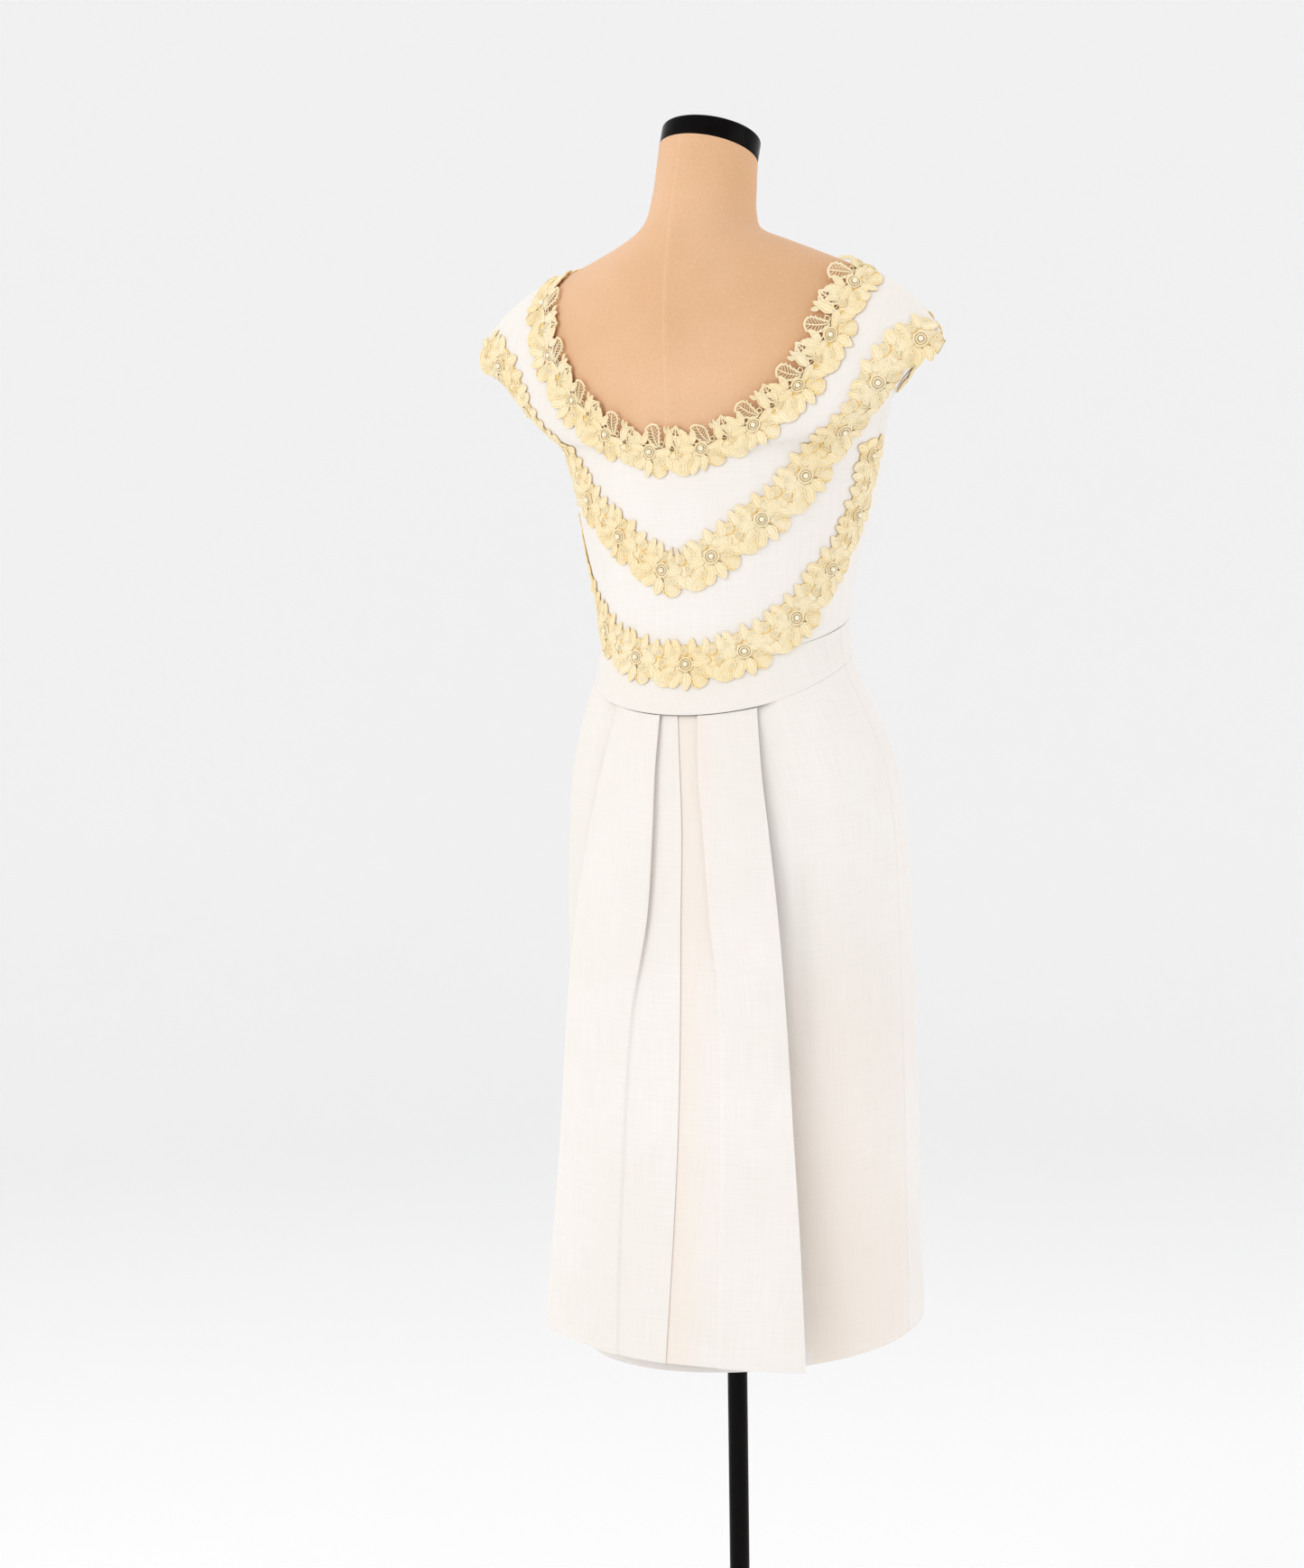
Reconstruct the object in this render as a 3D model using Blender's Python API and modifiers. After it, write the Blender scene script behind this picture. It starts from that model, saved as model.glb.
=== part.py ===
"""Cocktail dress with cap sleeves and lace bands, on a limbless dress form and its stand.

Metres, +Z up. The origin is on the floor under the pole. The dress front faces -Y, its back +Y,
and the wearer's right is at -X. An angle called turn goes round the body from the centre back:
0 at the back, +90 degrees at the wearer's left side, 180 at the front.
"""
import math
from bisect import bisect_right
from collections import namedtuple

import bmesh
import bpy
from mathutils import Vector
from mathutils.bvhtree import BVHTree

# Cloth, lace and gaps
CLOTH = 0.0012
BAND_CLOTH = 0.0026
LACE_WALL = 0.0010
LACE_RELIEF = 0.0034
SEAM_GAP = 0.0004
LAY_GAP = 0.0007
LIFT_ROUNDS = 10
LIFT_LIMIT = 0.012
LIFT_SHARE = 0.7
LIFT_SAMPLES = (0.0, 0.25, 0.5, 0.75, 1.0)
BODY_CLEARANCE = 0.0008

# Stand
POLE_RADIUS = 0.0091
POLE_FLANGE_RADIUS = 0.036
POLE_FLANGE_HEIGHT = 0.005
BASE_RADIUS = 0.150
BASE_HEIGHT = 0.006
BASE_EDGE = 0.002
HUB_RADIUS = 0.021
HUB_HEIGHT = 0.040
NECK_CAP_RADIUS = 0.0447
NECK_CAP_HEIGHT = 0.0200
NECK_CAP_EDGE = 0.003
ROUND_SIDES = 40

# Mesh fineness
BODY_COLUMNS = 48
PANEL_COLUMNS = 22
PANEL_ROWS = 15
WAISTBAND_ROWS = 2
SHEATH_ROWS = 12

# Depth of the shoulder line, where front and back meet on top of the shoulders
SHOULDER_LINE_Y = 0.030

# Waistband: height of each edge at the side seams, how far it drops at the back and rises in front,
# and how far the lower edge dips at the back and front
WAIST_TOP = 1.1037
WAIST_TOP_TILT = 0.0254
WAIST_BOTTOM = 1.071
WAIST_BOTTOM_TILT = 0.030
WAIST_BOTTOM_DIP = 0.012
WAIST_BOTTOM_BACK = WAIST_BOTTOM - WAIST_BOTTOM_TILT - WAIST_BOTTOM_DIP

# Hem of the narrow skirt: its height at the side seams, its drop at the back, and how much lower
# it hangs at the wearer's left than at the right
HEM = 0.460
HEM_TILT = 0.020
HEM_LEAN = 0.011

# Half width at the seams, for the angle that a seam gap takes
WAIST_HALF_WIDTH = 0.117
SKIRT_HALF_WIDTH = 0.150

# The rows of the skirt lie closer together towards its top, by this power
SKIRT_ROW_SPREAD = 1.35
# Points this near to each other are one point
MERGE_DISTANCE = 0.00005

# Bust of the form and the bodice: soft domes on the front
BUST_APART = 0.076
BUST_HEIGHT = 1.205
BUST_SPREAD = 0.044
BUST_DEPTH = 0.017

# The form, ring by ring from the neck down: half width, then the y of its side, back and front,
# the height of its side, back and front points, and a droop of 1 for a flat ring, more for a saddle
BodyRing = namedtuple("BodyRing", "name half side_y back_y front_y side_z back_z front_z droop")
BODY_RINGS = [
    BodyRing("neck_top", 0.0440, 0.027, 0.0710, -0.0170, 1.5255, 1.5417, 1.5093, 1.0),
    BodyRing("neck_middle", 0.0450, 0.031, 0.0760, -0.0135, 1.503, 1.519, 1.487, 1.0),
    BodyRing("neck_low", 0.0465, 0.035, 0.0835, -0.0115, 1.480, 1.495, 1.463, 1.2),
    BodyRing("neck_base", 0.0540, 0.035, 0.0915, -0.0160, 1.460, 1.469, 1.436, 1.6),
    BodyRing("yoke", 0.0820, 0.031, 0.0970, -0.0440, 1.4475, 1.441, 1.400, 2.0),
    BodyRing("shoulder_inner", 0.1120, 0.028, 0.1020, -0.0680, 1.4360, 1.411, 1.367, 2.0),
    BodyRing("shoulder_middle", 0.1430, 0.027, 0.1045, -0.0860, 1.4230, 1.377, 1.336, 2.0),
    BodyRing("shoulder_outer", 0.1660, 0.027, 0.1045, -0.0980, 1.4050, 1.345, 1.307, 2.0),
    BodyRing("shoulder_tip", 0.1740, 0.026, 0.1035, -0.1060, 1.384, 1.319, 1.282, 2.0),
    BodyRing("arm_upper", 0.1670, 0.020, 0.1025, -0.1120, 1.346, 1.295, 1.260, 2.0),
    BodyRing("arm_lower", 0.1560, 0.013, 0.1015, -0.1140, 1.305, 1.271, 1.238, 2.0),
    BodyRing("underarm", 0.1500, 0.007, 0.1000, -0.1130, 1.272, 1.247, 1.218, 2.0),
    BodyRing("chest", 0.1420, 0.005, 0.0980, -0.1080, 1.236, 1.220, 1.195, 2.0),
    BodyRing("ribs", 0.1305, 0.004, 0.0950, -0.0990, 1.190, 1.185, 1.165, 2.0),
    BodyRing("under_ribs", 0.1160, 0.003, 0.0930, -0.0920, 1.148, 1.148, 1.133, 2.0),
    BodyRing("waist", 0.1080, 0.003, 0.0895, -0.0895, 1.106, 1.110, 1.099, 2.0),
    BodyRing("below_waist", 0.1140, 0.002, 0.0870, -0.0900, 1.066, 1.070, 1.061, 2.0),
    BodyRing("belly", 0.1220, 0.001, 0.0880, -0.0970, 1.034, 1.036, 1.029, 2.0),
    BodyRing("upper_hip", 0.1400, -0.001, 0.0945, -0.1080, 0.990, 0.992, 0.985, 2.0),
    BodyRing("hip", 0.1535, -0.002, 0.1030, -0.1170, 0.930, 0.933, 0.926, 2.0),
    BodyRing("lower_hip", 0.1560, -0.003, 0.1055, -0.1200, 0.870, 0.872, 0.867, 2.0),
    BodyRing("cut_edge", 0.1540, -0.003, 0.1035, -0.1190, 0.815, 0.815, 0.815, 2.0),
]
FORM_BOTTOM = BODY_RINGS[-1].side_z

# Bodice rows from the waist seam up to the shoulder seam. The inner point is on the centre line or
# the neckline, the side point on the side seam or the sleeve edge, and bow is the row's roundness.
BodiceRow = namedtuple("BodiceRow", "name inner_x inner_z side_x side_y side_z bow")
WAIST_SEAM_SIDE = WAIST_TOP + SEAM_GAP
# The waist sits a little towards the wearer's left, less and less between these two heights
WAIST_SHIFT = 0.004
SHIFT_FULL_Z = 1.135
SHIFT_NONE_Z = 1.270
# The walls of back and front end in a narrow strip that lies level across the shoulder seam
SHOULDER_STRIP = 0.0030
# How much a wall leans into a seam for each unit of its thickness
SEAM_LEAN = 0.10
# The side seam parts a little just below the opening under the arm
SLIT_OPENING = 0.0006
SLIT_START_Z = 1.195
SLIT_END_Z = 1.240
BODICE_BACK = [
    BodiceRow("waist_seam", 0.000, WAIST_SEAM_SIDE - WAIST_TOP_TILT, 0.1180, 0.003, WAIST_SEAM_SIDE, 1.00),
    BodiceRow("lower_back", 0.000, 1.1250, 0.1220, 0.003, 1.1370, 1.00),
    BodiceRow("middle_back", 0.000, 1.1760, 0.1345, 0.004, 1.1860, 1.00),
    BodiceRow("shoulder_blades", 0.000, 1.2230, 0.1465, 0.006, 1.2350, 1.00),
    BodiceRow("underarm", 0.000, 1.2580, 0.1560, 0.011, 1.2740, 0.98),
    BodiceRow("neck_curve_low", 0.046, 1.2675, 0.1670, 0.024, 1.2930, 0.93),
    BodiceRow("neck_curve", 0.086, 1.2900, 0.1820, 0.039, 1.3130, 0.84),
    BodiceRow("neck_curve_high", 0.120, 1.3225, 0.1970, 0.048, 1.3280, 0.74),
    BodiceRow("yoke", 0.141, 1.3560, 0.2130, 0.051, 1.3380, 0.63),
    BodiceRow("upper_yoke", 0.152, 1.3890, 0.2270, 0.047, 1.3480, 0.50),
    BodiceRow("shoulder_seam", 0.157, 1.4225, 0.2345, 0.038, 1.3630, 0.38),
]
BODICE_FRONT = [
    BodiceRow("waist_seam", 0.000, WAIST_SEAM_SIDE + WAIST_TOP_TILT, 0.1180, 0.003, WAIST_SEAM_SIDE, 1.00),
    BodiceRow("under_bust", 0.000, 1.1550, 0.1220, 0.003, 1.1370, 1.00),
    BodiceRow("bust", 0.000, 1.1920, 0.1345, 0.004, 1.1860, 1.00),
    BodiceRow("upper_bust", 0.000, 1.2340, 0.1465, 0.006, 1.2350, 1.00),
    BodiceRow("underarm", 0.000, 1.2790, 0.1560, 0.011, 1.2740, 0.98),
    BodiceRow("neck_curve_low", 0.000, 1.3180, 0.1665, 0.000, 1.2930, 0.95),
    BodiceRow("neck_curve", 0.052, 1.3260, 0.1810, -0.007, 1.3130, 0.86),
    BodiceRow("neck_curve_high", 0.094, 1.3430, 0.1960, -0.006, 1.3280, 0.74),
    BodiceRow("yoke", 0.125, 1.3660, 0.2120, 0.002, 1.3380, 0.62),
    BodiceRow("upper_yoke", 0.146, 1.3930, 0.2260, 0.016, 1.3480, 0.50),
    BodiceRow("shoulder_seam", 0.157, 1.4225, 0.2345, 0.038, 1.3630, 0.38),
]

# Outside of the narrow skirt, level by level: height, half width, depth at the back and the front,
# and how far it is shifted sideways
SkirtRing = namedtuple("SkirtRing", "name z half back_y front_y shift")
SKIRT_RINGS = [
    SkirtRing("hem", 0.430, 0.1620, 0.108, -0.1500, -0.0155),
    SkirtRing("calf", 0.553, 0.1640, 0.109, -0.1450, -0.0120),
    SkirtRing("knee", 0.668, 0.1655, 0.110, -0.1390, -0.0090),
    SkirtRing("thigh", 0.760, 0.1665, 0.110, -0.1320, -0.0065),
    SkirtRing("low_hip", 0.851, 0.1660, 0.109, -0.1260, -0.0045),
    SkirtRing("hip", 0.930, 0.1625, 0.107, -0.1230, -0.0035),
    SkirtRing("high_hip", 0.980, 0.1560, 0.104, -0.1180, -0.002),
    SkirtRing("under_band", 1.030, 0.1390, 0.0990, -0.1080, 0.001),
    SkirtRing("band", 1.062, 0.1245, 0.0965, -0.0990, 0.003),
    SkirtRing("band_top", 1.104, 0.1180, 0.0925, -0.0935, 0.004),
    SkirtRing("above_band", 1.140, 0.1230, 0.0980, -0.0980, 0.004),
]
# The narrow skirt lies deeper where the back panels hang over its top
TUCK_DEPTH = 0.0062
TUCK_DROP = 0.0012
TUCK_TURN = math.radians(39)
TUCK_SOFTNESS = math.radians(7)
TUCK_FADE_Z = 0.900

# The two hanging back panels, level by level: y of the centre back, x and y of the outer edges,
# x of the two soft pleat folds, x of the edge that laps over the centre, and how far a fold stands
# out
PanelLevel = namedtuple("PanelLevel", "name z centre_y edge_x edge_y fold_left fold_right lap_x lift")
PANEL_LEVELS = [
    PanelLevel("hem", 0.440, 0.1330, 0.1350, 0.1180, 0.050, -0.054, 0.000, 0.0010),
    PanelLevel("above_hem", 0.484, 0.1300, 0.1330, 0.1170, 0.050, -0.054, -0.002, 0.0010),
    PanelLevel("calf", 0.576, 0.1255, 0.1260, 0.1110, 0.048, -0.054, -0.007, 0.0012),
    PanelLevel("knee", 0.668, 0.1215, 0.1190, 0.1080, 0.044, -0.054, -0.0105, 0.0015),
    PanelLevel("thigh", 0.760, 0.1175, 0.1130, 0.1060, 0.037, -0.052, -0.0115, 0.0022),
    PanelLevel("low_hip", 0.851, 0.1150, 0.1040, 0.1020, 0.022, -0.044, -0.012, 0.0040),
    PanelLevel("hip", 0.930, 0.1115, 0.0915, 0.0950, 0.017, -0.037, -0.012, 0.0050),
    PanelLevel("high_hip", 0.980, 0.1065, 0.0820, 0.0890, 0.017, -0.030, -0.008, 0.0045),
    PanelLevel("waist_seam", 1.030, 0.0945, 0.0725, 0.0790, 0.019, -0.023, 0.000, 0.0026),
]
PANEL_HEM_LAP = 0.4520
PANEL_HEM_EDGE = 0.4707
PANEL_HEM_FAR_EDGE = 0.4535
PANEL_TOP_RADIUS = 0.137
RIGHT_PANEL_EASE = 0.6
INNER_COLUMNS = 4
FOLD_WIDTH = 0.0045
UNDERLAP = 0.016
HANGING_COLUMNS = 13
HANGING_ROWS = 15
HANGING_WALL = 0.0010

# Lace: one repeat along the band, across it from the inner edge (-1) to the outer edge (+1)
LACE_REPEAT = 0.052
LACE_HALF_WIDTH = 0.0205
LaceColumn = namedtuple("LaceColumn", "name along inner_edge outer_edge inner_lift middle_lift outer_lift")
LACE_COLUMNS = [
    LaceColumn("gap", 0.00, 0.58, 0.66, 0.05, 0.10, 0.05),
    LaceColumn("leaf_rise", 0.15, 0.92, 0.86, 0.30, 0.35, 0.25),
    LaceColumn("leaf_crown", 0.30, 1.00, 0.80, 0.40, 0.30, 0.30),
    LaceColumn("flower_start", 0.44, 0.70, 0.92, 0.10, 0.55, 0.35),
    LaceColumn("flower_centre", 0.60, 0.94, 1.00, 0.35, 1.00, 0.40),
    LaceColumn("flower_end", 0.78, 0.86, 0.94, 0.30, 0.55, 0.30),
]
LACE_ROWS = (-1.0, -0.48, 0.0, 0.5, 1.0)
LACE_FREE_LIFT = 0.0023
LACE_EDGE_SHARE = 0.25
HOLE_COLUMN = 2
PATH_STEP = 0.002
NECKLINE_POINTS = 9
LACE_END_TRIM = 0.0024

# Middle lines of the lace bands on the wearer's left side: over the back and onto the cap sleeve,
# down the front of the cap sleeve, and over the waist seam and up the side seam
BandPoint = namedtuple("BandPoint", "name x y z")
V_BAND = [
    BandPoint("centre", 0.000, 0.098, 1.1556),
    BandPoint("inner", 0.062, 0.092, 1.1885),
    BandPoint("blade", 0.108, 0.080, 1.2230),
    BandPoint("armhole", 0.1415, 0.068, 1.2600),
    BandPoint("sleeve_low", 0.165, 0.062, 1.3040),
    BandPoint("sleeve", 0.185, 0.060, 1.3390),
    BandPoint("sleeve_middle", 0.203, 0.058, 1.3550),
    BandPoint("sleeve_high", 0.2155, 0.052, 1.3640),
    BandPoint("tip", 0.2205, 0.0365, 1.3760),
]
SLEEVE_FRONT_BAND = [
    BandPoint("tip", 0.2205, 0.0335, 1.3760),
    BandPoint("sleeve_high", 0.2145, 0.002, 1.3640),
    BandPoint("sleeve_middle", 0.198, -0.020, 1.3510),
    BandPoint("sleeve", 0.181, -0.033, 1.3350),
    BandPoint("sleeve_low", 0.165, -0.038, 1.3100),
]
LOW_BAND = [
    BandPoint("centre", 0.000, 0.093, 1.0740),
    BandPoint("inner", 0.054, 0.083, 1.0838),
    BandPoint("side_back", 0.0985, 0.057, 1.1128),
    BandPoint("side", 0.1150, 0.032, 1.1515),
    BandPoint("ribs", 0.1335, 0.014, 1.1926),
    BandPoint("chest", 0.1450, 0.010, 1.2380),
    BandPoint("underarm", 0.1520, 0.011, 1.2660),
]

Finish = namedtuple("Finish", "colour roughness metallic")
FINISHES = {
    "form_cloth": Finish((0.83, 0.56, 0.32, 1.0), 0.85, 0.0),
    "black_gloss": Finish((0.012, 0.011, 0.011, 1.0), 0.18, 0.0),
    "black_satin": Finish((0.015, 0.014, 0.014, 1.0), 0.35, 0.6),
    "ivory_cloth": Finish((0.93, 0.90, 0.84, 1.0), 0.80, 0.0),
    "lace": Finish((0.93, 0.80, 0.50, 1.0), 0.75, 0.0),
}


def table_value(rows, key, column, at):
    """Value of a table's column at a key, on the smooth curve through its rows."""
    keys = [getattr(row, key) for row in rows]
    values = [getattr(row, column) for row in rows]
    return smooth_value(keys, values, at)


def smooth_value(keys, values, at):
    """Value at a place on a smooth curve through (key, value) points with rising keys."""
    last = len(keys) - 1
    if at <= keys[0]:
        return values[0]
    if at >= keys[last]:
        return values[last]
    index = bisect_right(keys, at) - 1
    span = keys[index + 1] - keys[index]
    part = (at - keys[index]) / span

    def slope(place):
        before = max(place - 1, 0)
        after = min(place + 1, last)
        return (values[after] - values[before]) / (keys[after] - keys[before])

    start, end = values[index], values[index + 1]
    rise = end - start
    start_slope = slope(index) * span
    end_slope = slope(index + 1) * span
    bend = 3 * rise - 2 * start_slope - end_slope
    twist = start_slope + end_slope - 2 * rise
    return start + part * (start_slope + part * (bend + part * twist))


def smooth_step(low, high, value):
    """0 below low, 1 above high, with a soft change between."""
    part = min(max((value - low) / (high - low), 0.0), 1.0)
    return part * part * (3 - 2 * part)


def mix(first, second, part):
    return first + (second - first) * part


def bust_rise(x, z):
    """How far the front stands forward at a point, for the two soft domes of the bust."""
    rise = 0.0
    for centre in (-BUST_APART, BUST_APART):
        away = ((x - centre) ** 2 + (z - BUST_HEIGHT) ** 2) / BUST_SPREAD ** 2
        rise += BUST_DEPTH * math.exp(-away)
    return rise


def make_material(name):
    finish = FINISHES[name]
    material = bpy.data.materials.new(name)
    material.use_nodes = True
    shader = material.node_tree.nodes["Principled BSDF"]
    shader.inputs["Base Color"].default_value = finish.colour
    shader.inputs["Roughness"].default_value = finish.roughness
    shader.inputs["Metallic"].default_value = finish.metallic
    material.diffuse_color = finish.colour
    return material


def add_object(name, mesh, collection, material):
    """Link a mesh as one named sub-part with its own copy of a finish."""
    thing = bpy.data.objects.new(name, mesh)
    collection.objects.link(thing)
    own_finish = material.copy()
    own_finish.name = f"{name}_{material.name}"
    mesh.materials.append(own_finish)
    return thing


def shade_round(thing, angle=math.radians(40)):
    thing.data.shade_smooth()
    thing.data.set_sharp_from_angle(angle=angle)


def grid_mesh(name, columns, rows, place, skipped=()):
    """A sheet of columns by rows, each corner put where place(across, up) says, both from 0 to 1."""
    sheet = bmesh.new()
    bmesh.ops.create_grid(sheet, x_segments=columns, y_segments=rows, size=0.5)
    doomed = []
    for face in sheet.faces:
        centre = face.calc_center_median()
        cell = (math.floor((centre.x + 0.5) * columns), math.floor((centre.y + 0.5) * rows))
        if cell in skipped:
            doomed.append(face)
    bmesh.ops.delete(sheet, geom=doomed, context="FACES")
    for corner in sheet.verts:
        corner.co = place(corner.co.x + 0.5, corner.co.y + 0.5)
    mesh = bpy.data.meshes.new(name)
    sheet.to_mesh(mesh)
    sheet.free()
    return mesh


def turn_outwards(mesh, outward):
    """Flip an open sheet if most of it faces against outward(centre)."""
    facing = 0.0
    for face in mesh.polygons:
        facing += face.area * face.normal.dot(outward(face.center))
    if facing < 0:
        mesh.flip_normals()


def away_from_axis(point):
    return Vector((point.x, point.y, 0.0))


def add_wall(thing, thickness, side):
    """Give a sheet its thickness: side -1 keeps the sheet outside, side +1 keeps it inside."""
    wall = thing.modifiers.new("wall", "SOLIDIFY")
    wall.thickness = thickness
    wall.offset = side
    wall.use_even_offset = True
    wall.use_rim = True
    return wall


def sheet_tree(mesh):
    """A lookup of the nearest point on a sheet."""
    corners = [corner.co.copy() for corner in mesh.vertices]
    faces = [tuple(face.vertices) for face in mesh.polygons]
    return BVHTree.FromPolygons(corners, faces)


def body_point(ring, turn):
    """Point of a ring of the form."""
    back = max(math.cos(turn), 0.0)
    front = max(-math.cos(turn), 0.0)
    x = ring.half * math.sin(turn)
    y = ring.side_y + (ring.back_y - ring.side_y) * back + (ring.front_y - ring.side_y) * front
    rise_back = (ring.back_z - ring.side_z) * back ** ring.droop
    rise_front = (ring.front_z - ring.side_z) * front ** ring.droop
    z = ring.side_z + rise_back + rise_front
    if turn_is_front(turn):
        y -= bust_rise(x, z) * front
    return Vector((x, y, z))


def turn_is_front(turn):
    return math.cos(turn) < 0


def form_mesh():
    """The limbless form as one closed loft through its rings, flat at the neck and the cut edge."""
    body = bmesh.new()
    loops = []
    for ring in BODY_RINGS:
        loop = []
        for column in range(BODY_COLUMNS):
            turn = 2 * math.pi * column / BODY_COLUMNS
            loop.append(body.verts.new(body_point(ring, turn)))
        loops.append(loop)
    for upper, lower in zip(loops, loops[1:]):
        for column in range(BODY_COLUMNS):
            after = (column + 1) % BODY_COLUMNS
            body.faces.new((upper[column], upper[after], lower[after], lower[column]))
    body.faces.new(loops[0])
    body.faces.new(loops[-1])
    bmesh.ops.recalc_face_normals(body, faces=body.faces)
    mesh = bpy.data.meshes.new("form_torso")
    body.to_mesh(mesh)
    body.free()
    return mesh


def turned_object(name, profile, collection, material):
    """A solid of revolution about Z from (radius, height) points, listed from the top down."""
    mesh = bpy.data.meshes.new(name)
    points = [(radius, 0.0, height) for radius, height in profile]
    edges = [(index, index + 1) for index in range(len(points) - 1)]
    mesh.from_pydata(points, edges, [])
    thing = add_object(name, mesh, collection, material)
    screw = thing.modifiers.new("turn", "SCREW")
    screw.steps = ROUND_SIDES
    screw.render_steps = ROUND_SIDES
    screw.use_merge_vertices = True
    screw.merge_threshold = MERGE_DISTANCE
    return thing


def build_stand(collection, material, form_floor):
    """Flat round base with a short hub, and the pole with the flange that carries the form."""
    base_profile = [
        (0.0, BASE_HEIGHT + HUB_HEIGHT),
        (HUB_RADIUS - BASE_EDGE, BASE_HEIGHT + HUB_HEIGHT),
        (HUB_RADIUS, BASE_HEIGHT + HUB_HEIGHT - BASE_EDGE),
        (HUB_RADIUS, BASE_HEIGHT + BASE_EDGE),
        (HUB_RADIUS + BASE_EDGE, BASE_HEIGHT),
        (BASE_RADIUS - BASE_EDGE, BASE_HEIGHT),
        (BASE_RADIUS, BASE_HEIGHT - BASE_EDGE),
        (BASE_RADIUS, 0.0),
        (0.0, 0.0),
    ]
    base = turned_object("stand_base", base_profile, collection, material)
    pole_foot = BASE_HEIGHT + HUB_HEIGHT + SEAM_GAP
    pole_head = form_floor - SEAM_GAP
    pole_profile = [
        (0.0, pole_head),
        (POLE_FLANGE_RADIUS, pole_head),
        (POLE_FLANGE_RADIUS, pole_head - POLE_FLANGE_HEIGHT),
        (POLE_RADIUS, pole_head - POLE_FLANGE_HEIGHT),
        (POLE_RADIUS, pole_foot),
        (0.0, pole_foot),
    ]
    pole = turned_object("stand_pole", pole_profile, collection, material)
    for thing in (base, pole):
        shade_round(thing)


def build_neck_cap(collection, material):
    """Round plate that closes the neck, tilted forward with the neck's cut."""
    profile = [
        (0.0, NECK_CAP_HEIGHT),
        (NECK_CAP_RADIUS - NECK_CAP_EDGE, NECK_CAP_HEIGHT),
        (NECK_CAP_RADIUS, NECK_CAP_HEIGHT - NECK_CAP_EDGE),
        (NECK_CAP_RADIUS, 0.0),
        (0.0, 0.0),
    ]
    cap = turned_object("form_neck_cap", profile, collection, material)
    top = BODY_RINGS[0]
    tilt = math.atan2(top.back_z - top.front_z, top.back_y - top.front_y)
    lift = Vector((0.0, -math.sin(tilt), math.cos(tilt))) * SEAM_GAP
    middle_z = (top.back_z + top.front_z) / 2
    middle_y = (top.back_y + top.front_y) / 2
    cap.location = Vector((0.0, middle_y, middle_z)) + lift
    cap.rotation_euler = (tilt, 0.0, 0.0)
    shade_round(cap)


def pushed_clear(point, tree, clearance):
    """The point, moved out from the form where it would lie nearer than the clearance."""
    surface, normal, _, _ = tree.find_nearest(point)
    height = (point - surface).dot(normal)
    if height < clearance:
        return point + normal * (clearance - height)
    return point


def bodice_point(rows, facing, outward, up, tree):
    """Outside of the left half of a bodice panel, from its centre (outward 0) to its side (outward 1).

    facing is +1 for the back and -1 for the front, and up runs from the waist seam to the shoulder.
    """
    place = up * (len(rows) - 1)
    steps = list(range(len(rows)))

    def column(name):
        return smooth_value(steps, [getattr(row, name) for row in rows], place)

    angle = outward * math.pi / 2
    inner_x, inner_z = max(column("inner_x"), 0.0), column("inner_z")
    side_x, side_y, side_z = column("side_x"), column("side_y"), column("side_z")
    bow = column("bow")
    inner_y = front_or_back_y(tree, inner_x, inner_z, facing)
    arc_x, arc_part = math.sin(angle), math.cos(angle)
    x = mix(mix(inner_x, side_x, outward), mix(inner_x, side_x, arc_x), bow)
    y = mix(mix(inner_y, side_y, outward), mix(side_y, inner_y, arc_part), bow)
    z = mix(mix(inner_z, side_z, outward), mix(side_z, inner_z, arc_part), bow)
    if facing < 0:
        y -= bust_rise(x, z) * arc_part
    point = Vector((x, y, z))
    return pushed_clear(point, tree, CLOTH + BODY_CLEARANCE)


def front_or_back_y(tree, x, z, facing):
    """Depth of the cloth on the form at a place seen straight from the back (+1) or the front (-1)."""
    start = Vector((x, facing * 0.5, z))
    surface, normal, _, _ = tree.ray_cast(start, Vector((0.0, -facing, 0.0)))
    if surface is None:
        return SHOULDER_LINE_Y
    depth = surface.y + normal.y * (CLOTH + BODY_CLEARANCE)
    return facing * max(facing * depth, facing * SHOULDER_LINE_Y)


def waist_shift(z):
    """How far the dress sits to the wearer's left at a height above the waist."""
    return WAIST_SHIFT * (1 - smooth_step(SHIFT_FULL_Z, SHIFT_NONE_Z, z))


def both_halves(mesh):
    """Mirror the left half of a bodice panel to the right and join the two along the centre line."""
    sheet = bmesh.new()
    sheet.from_mesh(mesh)
    geometry = list(sheet.verts) + list(sheet.edges) + list(sheet.faces)
    bmesh.ops.mirror(sheet, geom=geometry, axis="X", merge_dist=MERGE_DISTANCE)
    bmesh.ops.recalc_face_normals(sheet, faces=sheet.faces)
    for corner in sheet.verts:
        corner.co.x += waist_shift(corner.co.z)
    sheet.to_mesh(mesh)
    sheet.free()


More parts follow.
